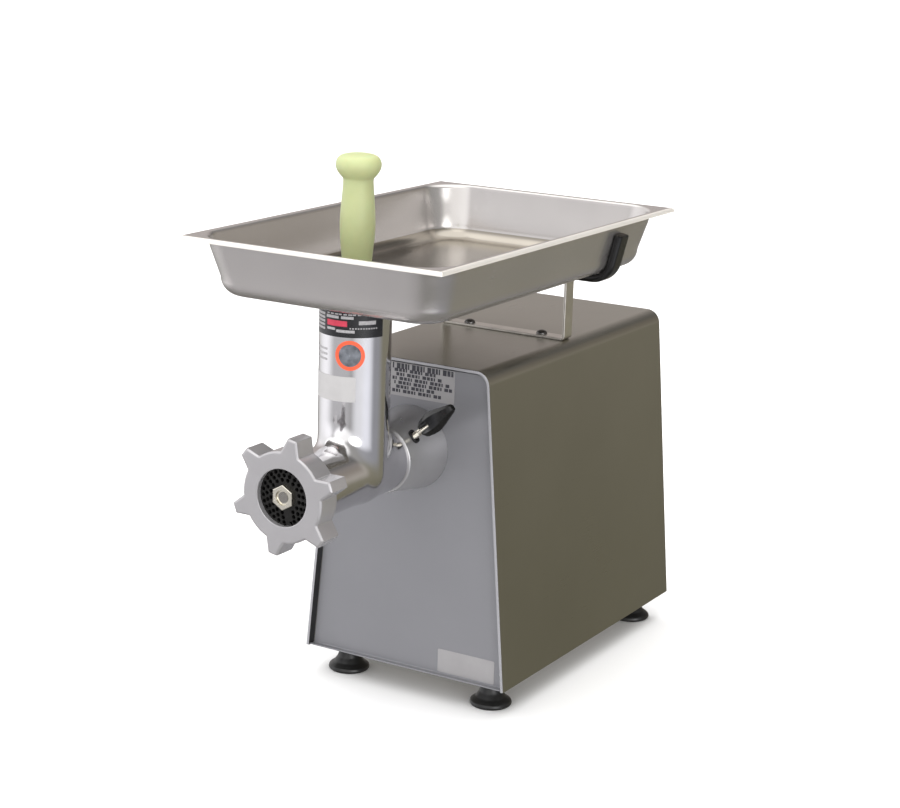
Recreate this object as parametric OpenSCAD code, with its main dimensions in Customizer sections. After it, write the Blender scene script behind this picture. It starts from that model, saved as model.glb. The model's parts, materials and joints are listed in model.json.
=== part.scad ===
// Bench-top electric meat grinder with a lift-off feed pan.
// Axes: +Z up, -Y towards the outlet, +X to the right seen from the outlet.
// Origin: on the bench, under the centre of the bounding box.

/* [Cabinet] */
// Height of the rubber feet below the cabinet's bottom edge
foot_h = 33; // [28:1:40]
// Height of the cabinet from its bottom edge to its top
body_h = 363; // [355:1:375]
// Length of the cabinet, front to back
body_len = 426; // [410:1:450]
// Width of the cabinet at its bottom edge
base_w = 267; // [260:1:280]
// Width of the cabinet at its top, before the corners are rounded
top_w = 202; // [195:1:215]
// Radius of the two long top corners
top_r = 17; // [10:1:24]
// Thickness of the stainless sheet
sheet = 1.5; // [1.2:0.1:2]
// Depth of the front and rear panels behind the cabinet's edge
recess = 8; // [6:1:10]
// Width of the folded edge round the front opening
hem = 5; // [3:0.5:7]

/* [Grinding head] */
// Height of the worm's axis above the cabinet's bottom edge
axis_h = 262; // [255:1:268]
// Distance from the cabinet's front edge to the ring nut's face
nose_len = 242; // [240:1:244]
// Distance from the cabinet's front edge to the feed tube's axis
tube_off = 110; // [106:1:114]
// Outer radius of the feed tube
tube_r = 38.5; // [36:0.5:40]
// Radius of the throat inside the feed tube
throat_r = 26; // [25.5:0.5:27]
// Outer radius of the barrel
barrel_r = 36.5; // [36:0.5:38]
// Radius of the worm's bore
bore_r = 30.5; // [30.2:0.1:30.8]
// Radius of the hole plate
plate_r = 35; // [34:0.5:35]
// Thickness of the hole plate
plate_t = 8; // [7:0.5:8]
// Radius of the holes in the plate
plate_hole_r = 2.2; // [1.5:0.1:2.4]

/* [Ring nut] */
// Radius of the ring nut between its lobes
ring_root_r = 48; // [46:0.5:50]
// Radius over the tips of the lobes
ring_tip_r = 64; // [58:0.5:66]
// Length of the ring nut along its axis
ring_len = 29; // [26:1:30]
// Radius of the ring nut's opening
ring_open_r = 30.5; // [29:0.5:32]
// Number of lobes
ring_lobes = 6; // [4:1:8]
// Turn of the first lobe above +X, in degrees
ring_phase = 19.6; // [0:0.1:59]

/* [Collar] */
// Radius of the collar's front rim
collar_front_r = 38.5; // [38:0.5:41]
// Radius of the collar at the front panel
collar_back_r = 47.5; // [45:0.5:50]
// Distance from the cabinet's front edge to the collar's front rim
collar_len = 56; // [52:1:60]
// Radius of the head's tail, which sits in the collar
tail_r = 31; // [30:0.5:32]
// Tilt of the clamping screw above +X, in degrees
clamp_tilt = 40; // [30:1:50]

/* [Feed pan] */
// Width of the pan over its rim
pan_w = 325; // [320:1:330]
// Length of the pan over its rim
pan_l = 530; // [520:1:540]
// Depth of the pan, from its rim to its underside
pan_d = 65; // [60:1:70]
// Distance from the cabinet's front edge back to the pan's centre
pan_off = 58; // [54:1:62]
// Radius of the pan's bottom edge
pan_r = 20; // [16:1:24]
// Radius of the rim's corners, seen from above
pan_corner_r = 5; // [4:0.5:14]
// Height of the pan's underside above the cabinet's top
pan_gap = 83; // [80:1:90]

/* [Pan bracket] */
// Width of the bent steel strip
strip_w = 19; // [16:1:22]
// Thickness of the strip
strip_t = 3; // [2:0.5:3]
// Half the distance between the outer faces of the two uprights
post_half = 83.5; // [80:0.5:86]
// Sideways offset of the bracket
bracket_shift = 7.5; // [0:0.5:8]
// Distance from the cabinet's front edge back to the bracket's centre
bracket_off = 201; // [190:1:210]

/* [Gear train] */
// Module of the slow pair of gears
slow_module = 2; // [2:1:2]
// Teeth on the gear on the output shaft
output_teeth = 51; // [51:1:51]
// Teeth on the pinion cut on the countershaft
counter_teeth = 17; // [17:1:17]
// Module of the fast pair of gears
fast_module = 1.5; // [1.5:0.5:1.5]
// Teeth on the large gear on the countershaft
wheel_teeth = 54; // [54:1:54]
// Teeth on the motor's pinion
motor_teeth = 18; // [18:1:18]
// Play between meshed teeth, along the pitch circle
backlash = 0.3; // [0.2:0.05:0.4]

/* [Hidden] */
$fn = 72;

// Planes along Y
front = -(body_len - nose_len) / 2;
rear = front + body_len;
panel_y = front + recess;
rear_panel_y = rear - recess - sheet;
ring_face = front - nose_len;
plate_face = ring_face + 6;
plate_back = plate_face + plate_t;
knife_back = plate_back + 9;
worm_back = front - 72.3;
bore_end = worm_back + 2.3;
rim_y = front - collar_len;
tail_end = rim_y + 50;
case_front = panel_y + sheet + 8;
slow_y = case_front + 22.5;
fast_y = slow_y + 26;
case_back = case_front + 68.5;
motor_y = case_back + 16;
motor_len = 152;

// Heights
top_z = foot_h + body_h;
axis_z = foot_h + axis_h;
tube_y = front - tube_off;
pan_z = top_z + pan_gap;
rim_z = pan_z + pan_d;

// Cabinet
slope = (base_w - top_w) / 2 / body_h;
flare = atan(slope);
floor_z = foot_h + 2;
floor_t = 2.5;
foot_x = 97;
foot_front = front + 38;
foot_back = front + 395;

// Pan
wall_low = 142;
wall_high = 153;
pan_y = front + pan_off;
end_low = pan_l / 2 - 23;
end_high = pan_l / 2 - 10;

// Gears
slow_gap = slow_module * (output_teeth + counter_teeth) / 2;
fast_gap = fast_module * (wheel_teeth + motor_teeth) / 2;
counter_z = axis_z - slow_gap;
motor_z = counter_z - fast_gap;
stadium_r = 60;

// Stickers: clearance to the tube, and thickness
label_gap = 0.15;
label_t = 0.3;

// Half-width of the cabinet at height z above its bottom edge, inset into the sheet
function side_x(z, inset) = base_w / 2 - slope * z - inset / cos(flare);

// Right-hand half of the cabinet's outline
function half_outline(inset, low) =
    let (r = max(top_r - inset, 2), z = body_h - inset - r, x = side_x(z, inset) - r / cos(flare))
    concat([[side_x(low, inset), low]],
        [for (i = [0:8]) let (a = flare + i * (90 - flare) / 8) [x + r * cos(a), z + r * sin(a)]]);

function mirrored(points) = [for (i = [len(points) - 1:-1:0]) [-points[i][0], points[i][1]]];

// Involute tooth, as [radius, angle] pairs round the tooth's centre line
function roll(base, r) = let (a = acos(min(base / r, 1))) tan(a) * 180 / PI - a;
function tooth(m, n) =
    let (pitch = m * n / 2, base = pitch * cos(20), root = pitch - 1.25 * m, tip = pitch + 0.95 * m,
        half = 90 / n - backlash / 4 / pitch * 180 / PI + roll(base, pitch), low = max(base, root))
    concat([[root, -half]],
        [for (i = [0:5]) let (r = low + (tip - low) * i / 5) [r, roll(base, r) - half]],
        [for (i = [5:-1:0]) let (r = low + (tip - low) * i / 5) [r, half - roll(base, r)]],
        [[root, half]]);

// Centre line of a pan hook, offset by d: round the pan's bottom edge and up its wall
hook_angle = atan2(rim_z - 1 - pan_z - pan_r, wall_high - wall_low + pan_r)
    - acos(pan_r / norm([rim_z - 1 - pan_z - pan_r, wall_high - wall_low + pan_r]));
function hook_line(r, start, rise) =
    let (cx = wall_low - pan_r, cz = pan_z + pan_r)
    concat([[start, cz - r]],
        [for (i = [0:8]) let (a = -90 + i * (90 + hook_angle) / 8) [cx + r * cos(a), cz + r * sin(a)]],
        [[cx + r * cos(hook_angle) - rise * sin(hook_angle),
          cz + r * sin(hook_angle) + rise * cos(hook_angle)]]);

function turned_over(points) = [for (i = [len(points) - 1:-1:0]) points[i]];

// Slab between two planes across Y, from an outline drawn in X and Z
module slab(y0, y1) {
    translate([0, y1, 0]) rotate([90, 0, 0]) linear_extrude(y1 - y0) children();
}

// Solid turned about a line along Y, from a profile of [radius, y]
module turned(points, z = axis_z) {
    translate([0, 0, z]) rotate([-90, 0, 0]) rotate_extrude() polygon(points);
}

module rod(r, y0, y1, x = 0, z = axis_z) {
    translate([x, y0, z]) rotate([-90, 0, 0]) cylinder(r = r, h = y1 - y0);
}

module tube(r, hole, y0, y1, x = 0, z = axis_z) {
    difference() {
        rod(r, y0, y1, x, z);
        rod(hole, y0 - 1, y1 + 1, x, z);
    }
}

module cabinet_slab(inset, low, y0, y1) {
    right = half_outline(inset, low);
    translate([0, 0, foot_h]) slab(y0, y1) polygon(concat(right, mirrored(right)));
}

// Local frame on the outside of the cabinet's left wall: Z out, X up the wall
module on_left_wall(y, z) {
    translate([-side_x(z - foot_h, 0), y, z]) rotate([0, -90 + flare, 0]) children();
}

// Local frame along the clamping screw: Z outwards from the worm's axis
module along_clamp() {
    translate([0, front - 38, axis_z]) rotate([0, 90 - clamp_tilt, 0]) children();
}

module gear(m, n, y, width, z, phase, hole) {
    profile = tooth(m, n);
    difference() {
        translate([0, 0, z]) slab(y, y + width)
            polygon([for (i = [0:n - 1]) for (p = profile)
                let (a = i * 360 / n + p[1] + phase) [p[0] * cos(a), p[0] * sin(a)]]);
        if (hole > 0) rod(hole, y - 1, y + width + 1, 0, z);
    }
}

module rounded_slab(half_x, half_y, r, z, t) {
    translate([0, 0, z]) linear_extrude(t) {
        square([2 * half_x, 2 * (half_y - r)], center = true);
        square([2 * (half_x - r), 2 * half_y], center = true);
        for (x = [-1, 1]) for (y = [-1, 1])
            translate([x * (half_x - r), y * (half_y - r)]) circle(r, $fn = 32);
    }
}

// Cabinet ------------------------------------------------------------------

// Bent stainless wrap with folded edges and two welded frames for the end panels
module housing_cover() {
    color([0.55, 0.53, 0.47]) {
        difference() {
            cabinet_slab(0, 0, front, rear);
            cabinet_slab(sheet, -1, front - 1, rear + 1);
            bracket_holes();
            on_left_wall(switch_y, switch_z) translate([-36, -16, -6]) cube([72, 32, 12]);
        }
        frame_ring(front, sheet, hem, 0);
        frame_ring(panel_y + sheet, 2, 14, 26);
        frame_ring(rear - sheet, sheet, hem, 0);
        difference() {
            frame_ring(rear_panel_y - 2, 2, 14, 26);
            for (p = rear_screw_places) rod(2.05, rear_panel_y - 3, rear_panel_y + 1, p[0], p[1]);
        }
    }
}

module frame_ring(y, t, w, low) {
    difference() {
        cabinet_slab(sheet / 2, low, y, y + t);
        cabinet_slab(sheet + w, low - 1, y - 1, y + t + 1);
    }
}

rear_screw_places = [for (s = [-1, 1]) for (h = [50, 180, 310])
    [s * (side_x(h, sheet) - 8), foot_h + h]];

module bracket_holes() {
    for (x = [-1, 1])
        translate([bracket_shift + x * screw_half, front + bracket_off, top_z - 5]) cylinder(r = 2.6, h = 10);
}

// Floor tray: the drive stands on it and the wrap slides over its flanges
module base_plate() {
    half = side_x(2, sheet + 0.3);
    high = side_x(24, sheet + 0.3);
    color([0.5, 0.5, 0.5]) difference() {
        union() {
            translate([0, 0, foot_h]) slab(panel_y + sheet + 0.2, rear_panel_y - 0.2) {
                polygon([[-half, 2], [half, 2], [half, 2 + floor_t], [-half, 2 + floor_t]]);
                for (s = [-1, 1]) polygon([[s * half, 2], [s * high, 24],
                    [s * (high - 2), 24], [s * (half - 2), 2]]);
            }
            for (y = [panel_y + sheet + 0.2, rear_panel_y - 2.2])
                translate([-high + 3, y, floor_z]) cube([2 * high - 6, 2, 20]);
        }
        for (p = foot_places) translate([p[0], p[1], floor_z - 1]) cylinder(r = 4.1, h = 5);
    }
}

foot_places = [for (x = [-foot_x, foot_x]) for (y = [foot_front, foot_back]) [x, y]];

// Recessed front sheet with a small shelf along its bottom edge
module front_panel() {
    color([0.66, 0.65, 0.68]) {
        difference() {
            cabinet_slab(sheet + 0.2, 0.3, panel_y, panel_y + sheet);
            rod(collar_back_r + 0.1, panel_y - 1, panel_y + sheet + 1);
        }
        half = side_x(2, sheet + 0.4);
        translate([-half, front + 2, foot_h + 0.3]) cube([2 * half, recess - 2 + sheet / 2, sheet]);
    }
}

// Rear sheet with rows of cooling slots and the hole for the cable gland
module rear_panel() {
    color([0.6, 0.58, 0.53]) difference() {
        cabinet_slab(sheet + 0.3, 0.3, rear_panel_y, rear_panel_y + sheet);
        for (p = rear_screw_places) rod(2.15, rear_panel_y - 1, rear_panel_y + sheet + 1, p[0], p[1]);
        for (x = [-1, 1]) for (i = [0:7])
            translate([x * 36 - 26, rear_panel_y - 1, axis_z - 20 - i * 14]) cube([52, sheet + 2, 5]);
        rod(9, rear_panel_y - 1, rear_panel_y + sheet + 1, -gland_x, gland_z);
    }
}

gland_x = 72;
gland_z = foot_h + 48;

module rear_screws() {
    color([0.72, 0.72, 0.74]) for (p = rear_screw_places) {
        rod(2, rear_panel_y - 6, rear_panel_y + sheet, p[0], p[1]);
        difference() {
            rod(4, rear_panel_y + sheet, rear_panel_y + sheet + 2.4, p[0], p[1]);
            rod(1.6, rear_panel_y + sheet + 1, rear_panel_y + sheet + 3, p[0], p[1], $fn = 6);
        }
    }
}

module rubber_feet() {
    color([0.06, 0.06, 0.06]) for (p = foot_places) translate([p[0], p[1], 0]) difference() {
        rotate_extrude() polygon([[0, 0], [22.6, 0], [24.3, 2.5], [23.6, 5], [18.5, 9.5], [14, 15],
            [11.8, 21], [11, floor_z], [0, floor_z]]);
        translate([0, 0, -1]) cylinder(r = 4.1, h = foot_h + 10);
        translate([0, 0, -1]) cylinder(r = 8, h = 12);
    }
}

module foot_bolts() {
    top = floor_z + floor_t;
    color([0.72, 0.72, 0.74]) for (p = foot_places) translate([p[0], p[1], 0]) {
        translate([0, 0, 5.5]) cylinder(r = 7, h = 5.5, $fn = 6);
        translate([0, 0, 11]) cylinder(r = 4, h = top + 10 - 11);
        difference() {
            translate([0, 0, top]) cylinder(r = 7.2, h = 6.5, $fn = 6);
            translate([0, 0, top - 1]) cylinder(r = 4, h = 9);
        }
    }
}

// Threaded inlet for the mains cable, with its lock nut inside
module cable_gland() {
    y = rear_panel_y;
    color([0.07, 0.07, 0.07]) difference() {
        union() {
            rod(9, y - 12, y + sheet, -gland_x, gland_z);
            translate([-gland_x, y + sheet, gland_z]) rotate([-90, 0, 0]) cylinder(r = 12.5, h = 3.5, $fn = 6);
            rod(9.5, y + sheet + 3.5, y + sheet + 6.5, -gland_x, gland_z);
            translate([-gland_x, y - 5, gland_z]) rotate([-90, 0, 0]) cylinder(r = 12.5, h = 5, $fn = 6);
        }
        rod(4.5, y - 13, y + 10, -gland_x, gland_z);
    }
}

// Blank rating plate and blank front badge
module data_plate() {
    color([0.8, 0.79, 0.77]) translate([-30, panel_y - 0.4, foot_h + 318]) cube([84, 0.4, 38]);
}

module name_plate() {
    color([0.83, 0.82, 0.8]) translate([43, panel_y - 0.4, foot_h + 3.5]) cube([74, 0.4, 27.5]);
}

// Drive casing -------------------------------------------------------------

// Tapered socket for the grinding head, flanged behind the front panel
module head_collar() {
    back = panel_y + sheet;
    color([0.75, 0.75, 0.75]) difference() {
        turned([[tail_r + 0.1, rim_y], [collar_front_r - 1, rim_y], [collar_front_r, rim_y + 1],
            [collar_back_r, panel_y - 0.5], [collar_back_r, back], [stadium_r, back],
            [stadium_r, case_front], [20, case_front], [20, tail_end + 8], [26, tail_end + 8],
            [26, tail_end + 1], [tail_r + 0.1, tail_end + 1]]);
        along_clamp() {
            translate([0, 0, tail_r - 4]) cylinder(r = 4.05, h = 20);
            translate([0, 0, 39]) cylinder(r = 8, h = 10);
        }
        for (a = collar_bolt_angles) {
            rod(3.2, back - 1, case_front + 1, 53 * cos(a), axis_z + 53 * sin(a));
            rod(5.4, back - 1, back + 4, 53 * cos(a), axis_z + 53 * sin(a));
        }
    }
}

collar_bolt_angles = [45, 135, 225, 315];

module collar_bolts() {
    back = panel_y + sheet;
    color([0.3, 0.3, 0.32]) for (a = collar_bolt_angles) {
        x = 53 * cos(a);
        z = axis_z + 53 * sin(a);
        rod(3, back + 1, case_front + 7, x, z);
        difference() {
            rod(5, back + 0.2, back + 4, x, z);
            rod(2.6, back, back + 2.5, x, z, $fn = 6);
        }
    }
}

module clamp_grommet() {
    color([0.05, 0.05, 0.05]) along_clamp() difference() {
        translate([0, 0, 39]) cylinder(r = 7.9, h = 4);
        translate([0, 0, 38]) cylinder(r = 4.4, h = 6);
    }
}

// Brass pad that the screw presses on the head's tail
module clamp_pad() {
    color([0.8, 0.65, 0.3]) along_clamp() translate([0, 0, tail_r + 0.15]) cylinder(r = 3.9, h = 2);
}

module clamp_screw() {
    color([0.8, 0.8, 0.8]) along_clamp() {
        translate([0, 0, tail_r + 2.25]) cylinder(r = 4, h = 34);
    }
}

// Tapered lever knob with a pocket for the screw's end
module clamp_knob() {
    color([0.05, 0.05, 0.05]) along_clamp() difference() {
        rotate([90, 0, 0]) translate([0, 0, -7]) linear_extrude(14)
            polygon([[-6, 54], [6, 54], [8.5, 58], [9.8, 74], [8.5, 84], [4.2, 104],
                [-4.2, 104], [-8.5, 84], [-9.8, 74], [-8.5, 58]]);
        translate([0, 0, 50]) cylinder(r = 4, h = tail_r + 36.25 - 50);
    }
}

// Oil-filled gearcase: output shaft at the top, countershaft, motor at the bottom
module gearbox_housing() {
    color([0.62, 0.63, 0.64]) difference() {
        union() {
            stadium(stadium_r, case_front, case_back);
            translate([-50, case_front, floor_z + floor_t]) cube([100, 8, 90]);
            translate([-50, case_front, floor_z + floor_t]) cube([100, 50, 8]);
        }
        difference() {
            stadium(stadium_r - 5, case_front + 8, case_back + 1);
            rod(40, case_front, case_front + 18);
            rod(24, case_front, case_front + 14.5, 0, counter_z);
        }
        rod(31, case_front - 1, case_front + 16);
        rod(24, case_front - 1, case_front + 20);
        rod(17.5, case_front + 2, case_front + 20, 0, counter_z);
        for (a = collar_bolt_angles) rod(3, case_front - 1, case_front + 7, 53 * cos(a), axis_z + 53 * sin(a));
        for (p = case_screws) rod(2.05, case_back - 16, case_back + 1, p[0], p[1]);
    }
}

module stadium(r, y0, y1) {
    slab(y0, y1) {
        translate([0, axis_z]) circle(r);
        translate([0, motor_z]) circle(r);
        translate([-r, motor_z]) square([2 * r, axis_z - motor_z]);
    }
}

case_screws = concat([for (a = [30, 90, 150]) [57.5 * cos(a), axis_z + 57.5 * sin(a)]],
    [for (a = [210, 270, 330]) [57.5 * cos(a), motor_z + 57.5 * sin(a)]]);

module gearbox_cover() {
    color([0.62, 0.63, 0.64]) difference() {
        union() {
            stadium(stadium_r, case_back, case_back + 8);
            rod(30, case_back, case_back + 18);
            rod(24, case_back, case_back + 15, 0, counter_z);
        }
        rod(23.5, case_back - 1, case_back + 16);
        rod(17.5, case_back - 1, case_back + 12.5, 0, counter_z);
        rod(26, case_back - 1, case_back + 20, 0, motor_z);
        for (p = case_screws) rod(2.6, case_back - 1, case_back + 9, p[0], p[1]);
        for (p = motor_bolts) rod(3, case_back - 1, case_back + 9, p[0], p[1]);
    }
}

module gearbox_screws() {
    color([0.3, 0.3, 0.32]) for (p = case_screws) {
        rod(2, case_back - 14, case_back + 8, p[0], p[1]);
        rod(3.8, case_back + 8, case_back + 12, p[0], p[1]);
    }
}

module oil_seal() {
    color([0.1, 0.1, 0.1]) tube(26, 15.1, tail_end + 1, tail_end + 8);
}

module output_bearings() {
    color([0.8, 0.8, 0.82]) {
        bearing(31, 15.05, case_front, 16, axis_z);
        bearing(23.5, 10.05, case_back, 14, axis_z);
    }
}

// Ball bearing: races with a groove between them on each face
module bearing(outer, inner, y, width, z) {
    mid = (outer + inner) / 2;
    gap = (outer - inner) / 6;
    difference() {
        tube(outer, inner, y, y + width, 0, z);
        tube(mid + gap, mid - gap, y - 1.5, y + 1.5, 0, z);
        tube(mid + gap, mid - gap, y + width - 1.5, y + width + 1.5, 0, z);
    }
}

// Output shaft: a square socket for the worm's tang, the gear seat and two journals
module output_shaft() {
    color([0.7, 0.7, 0.72]) difference() {
        union() {
            rod(15, tail_end + 1.5, slow_y + 22);
            rod(10, slow_y + 21, case_back + 15);
        }
        translate([-8.2, tail_end, axis_z - 8.2]) cube([16.4, 17, 16.4]);
        key_slot();
    }
}

module key_slot() {
    translate([-4, slow_y + 1, axis_z + 11]) cube([8, 20, 7]);
}

module output_gear() {
    color([0.6, 0.6, 0.62]) difference() {
        gear(slow_module, output_teeth, slow_y, 22, axis_z, -90, 15);
        key_slot();
        for (s = [0, 1]) difference() {
            rod(40, slow_y - 1 + s * 17, slow_y + 6 + s * 17);
            rod(25, slow_y - 2, slow_y + 24);
        }
    }
}

module gear_key() {
    color([0.5, 0.5, 0.52]) key_slot();
}

module counter_bearings() {
    color([0.8, 0.8, 0.82]) {
        bearing(17.5, 7.5, case_front + 2, 11, counter_z);
        bearing(17.5, 7.5, case_back + 1, 11, counter_z);
    }
}

module countershaft() {
    color([0.7, 0.7, 0.72]) {
        rod(7.45, case_front + 2.5, case_back + 12, 0, counter_z);
        rod(12, case_front + 15, case_back - 2, 0, counter_z);
        gear(slow_module, counter_teeth, slow_y - 1, 24, counter_z, 90 + 180 / counter_teeth, 0);
    }
}

module counter_gear() {
    color([0.6, 0.6, 0.62]) difference() {
        gear(fast_module, wheel_teeth, fast_y, 14, counter_z, -90, 12);
        for (i = [0:5]) rod(6, fast_y - 1, fast_y + 15, 26 * cos(i * 60), counter_z + 26 * sin(i * 60));
    }
}

// Motor --------------------------------------------------------------------

motor_bolts = [for (a = [200, 270, 340]) [46 * cos(a), motor_z + 46 * sin(a)]];

module motor_front_shield() {
    color([0.62, 0.63, 0.64]) difference() {
        union() {
            rod(26, case_back, motor_y + 2, 0, motor_z);
            rod(64, motor_y, motor_y + 14, 0, motor_z);
        }
        rod(12, case_back - 1, motor_y + 20, 0, motor_z);
        rod(17.5, case_back + 4, case_back + 15, 0, motor_z);
        rod(30, motor_y + 6, motor_y + 20, 0, motor_z);
        for (p = motor_bolts) rod(3, motor_y - 1, motor_y + 20, p[0], p[1]);
    }
}

module motor_rear_shield() {
    y = motor_y + 14 + motor_len;
    color([0.62, 0.63, 0.64]) difference() {
        rod(64, y, y + 14, 0, motor_z);
        rod(17.5, y - 1, y + 11, 0, motor_z);
        rod(9, y - 1, y + 20, 0, motor_z);
    }
}

module motor_frame() {
    color([0.25, 0.27, 0.3]) tube(64, 61, motor_y + 14, motor_y + 14 + motor_len, 0, motor_z);
}

module motor_stator() {
    color([0.45, 0.45, 0.47]) tube(61, 40, motor_y + 40, motor_y + 140, 0, motor_z);
}

module stator_windings() {
    color([0.72, 0.42, 0.2]) for (y = [motor_y + 22, motor_y + 140])
        tube(57, 42, y, y + 18, 0, motor_z);
}

module motor_screws() {
    color([0.3, 0.3, 0.32]) for (p = motor_bolts) {
        rod(3, case_back, motor_y + 14, p[0], p[1]);
        rod(5, motor_y + 14, motor_y + 18, p[0], p[1]);
    }
}

// Saddle between the floor and the motor
module motor_cradle() {
    low = floor_z + floor_t;
    color([0.5, 0.5, 0.5]) difference() {
        slab(motor_y + 60, motor_y + 120) difference() {
            translate([-52, low]) square([104, 85]);
            translate([-40, low + 3]) square([80, 90]);
            translate([0, motor_z]) circle(64);
        }
        for (x = [-46, 46]) translate([x - 8, motor_y + 70, low + 12]) cube([16, 40, 30]);
    }
}

module motor_bearings() {
    color([0.8, 0.8, 0.82]) {
        bearing(17.5, 7.5, case_back + 4, 11, motor_z);
        bearing(17.5, 7.5, motor_y + 14 + motor_len, 11, motor_z);
    }
}

module motor_rotor() {
    color([0.5, 0.5, 0.52]) tube(39.5, 12, motor_y + 40, motor_y + 140, 0, motor_z);
}

module motor_shaft() {
    color([0.7, 0.7, 0.72]) {
        rod(7.45, fast_y - 1, motor_y + motor_len + 52, 0, motor_z);
        rod(12, motor_y + 8, motor_y + 10 + motor_len, 0, motor_z);
    }
}

module motor_pinion() {
    color([0.6, 0.6, 0.62])
        gear(fast_module, motor_teeth, fast_y - 1, 16, motor_z, 90 + 180 / motor_teeth, 7.45);
}

module motor_fan() {
    y = motor_y + motor_len + 34;
    color([0.15, 0.15, 0.16]) difference() {
        union() {
            rod(14, y, y + 18, 0, motor_z);
            rod(52, y, y + 2, 0, motor_z);
            for (a = [0:45:315]) translate([0, y, motor_z]) rotate([0, a, 0])
                translate([12, 0, -1]) cube([40, 16, 2]);
        }
        rod(7.45, y - 1, y + 19, 0, motor_z);
    }
}

module fan_cover() {
    y = motor_y + motor_len + 28;
    color([0.2, 0.2, 0.22]) difference() {
        rod(64, y, y + 30, 0, motor_z);
        rod(62.8, y - 1, y + 28.8, 0, motor_z);
        for (r = [20, 34, 48]) for (a = [0:30:330])
            rod(3.5, y + 25, y + 35, r * cos(a), motor_z + r * sin(a));
    }
}

// Run capacitor, lying on the floor in its moulded clip
module motor_capacitor() {
    z = floor_z + floor_t + 3 + 20;
    y = motor_y + motor_len - 40;
    color([0.75, 0.76, 0.78]) {
        rod(20, y, y + 90, 92, z);
        rod(8, y + 90, y + 96, 92, z);
        for (s = [15, 60]) difference() {
            translate([70, y + s, z - 23]) cube([44, 12, 26]);
            rod(20, y + s - 1, y + s + 13, 92, z);
        }
    }
}

// Controls -----------------------------------------------------------------

switch_y = front + 90;
switch_z = foot_h + 250;
button_r = 11;
start_x = 18;
stop_x = -18;

// Bezel of the two push-buttons, on the left wall
module switch_plate() {
    color([0.12, 0.12, 0.12]) on_left_wall(switch_y, switch_z) difference() {
        union() {
            translate([-42, -21, 0]) cube([84, 42, 2.5]);
            translate([-35.5, -15.5, -8]) cube([71, 31, 8]);
        }
        for (x = [start_x, stop_x]) translate([x, 0, -9]) cylinder(r = button_r + 0.08, h = 15);
    }
}

// Contact block behind the bezel
module switch_block() {
    color([0.3, 0.3, 0.32]) on_left_wall(switch_y, switch_z) difference() {
        translate([-35.5, -15.5, -38]) cube([71, 31, 29.9]);
        for (x = [start_x, stop_x]) {
            translate([x, 0, -15]) cylinder(r = button_r + 1, h = 10);
            translate([x, 0, -30]) cylinder(r = 3.08, h = 30);
        }
    }
}

module button(x, tint) {
    color(tint) on_left_wall(switch_y, switch_z) translate([x, 0, 0]) {
        translate([0, 0, -8]) cylinder(r = button_r, h = 13);
        translate([0, 0, -20]) cylinder(r = 3, h = 12.5);
    }
}

module start_button() {
    button(start_x, [0.1, 0.5, 0.2]);
}

module stop_button() {
    button(stop_x, [0.75, 0.1, 0.08]);
}

// Grinding head ------------------------------------------------------------

// One casting: threaded nose, barrel, feed tube and tail
module grinding_head() {
    color([0.82, 0.82, 0.83]) difference() {
        union() {
            turned([[0, plate_face + 2], [41, plate_face + 2], [41, ring_face + ring_len + 1],
                [44, ring_face + ring_len + 1], [44, ring_face + ring_len + 8],
                [barrel_r, ring_face + ring_len + 11], [barrel_r, rim_y], [tail_r, rim_y],
                [tail_r, tail_end], [0, tail_end]]);
            translate([0, tube_y, axis_z]) cylinder(r = tube_r, h = pan_z - 0.3 - axis_z);
        }
        rod(plate_r + 0.3, plate_face, knife_back);
        rod(bore_r, knife_back - 1, bore_end);
        rod(18, bore_end - 1, tail_end + 1);
        translate([0, tube_y, axis_z]) cylinder(r = throat_r, h = pan_z - axis_z + 5);
        translate([0, tube_y, pan_z - 11]) cylinder(r = 30, h = 20);
        key_block(0.1);
    }
}

// Key that stops the hole plate from turning
module key_block(play) {
    at_key() translate([-3.5 - play, plate_face + 1, -37 - play])
        cube([7 + 2 * play, plate_t - 2.5 + play, 10 + play]);
}

module at_key() {
    translate([0, 0, axis_z]) rotate([0, -90 - key_angle, 0]) children();
}

module plate_key() {
    color([0.75, 0.75, 0.72]) key_block(0);
}

module worm_bush() {
    color([0.75, 0.6, 0.3]) tube(18, 13.04, bore_end, tail_end - 0.5);
}

module thrust_washer() {
    color([0.9, 0.9, 0.85]) tube(28, 13.3, bore_end - 2, bore_end);
}

// Blank stickers on the feed tube
module tube_labels() {
    color([0.85, 0.85, 0.85]) {
        sticker(foot_h + 415, 27, -150, -10);
        sticker(foot_h + 386, 20, -147, -104);
        sticker(foot_h + 346, 27, -147, -55);
        intersection() {
            sticker(foot_h + 380, 32, -90, -40);
            translate([0, tube_y, foot_h + 396]) rotate([0, 90, -65]) cylinder(r = 16, h = 60);
        }
    }
}

module sticker(z, h, a0, a1) {
    steps = ceil((a1 - a0) / 3);
    angles = [for (i = [0:steps]) a0 + (a1 - a0) * i / steps];
    outer = [for (a = angles) (tube_r + label_gap + label_t) * [cos(a), sin(a)]];
    inner = [for (i = [steps:-1:0]) (tube_r + label_gap) * [cos(angles[i]), sin(angles[i])]];
    translate([0, tube_y, z]) linear_extrude(h) polygon(concat(outer, inner));
}

worm_r = bore_r - 0.6;
worm_pitch = 30;

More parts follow.
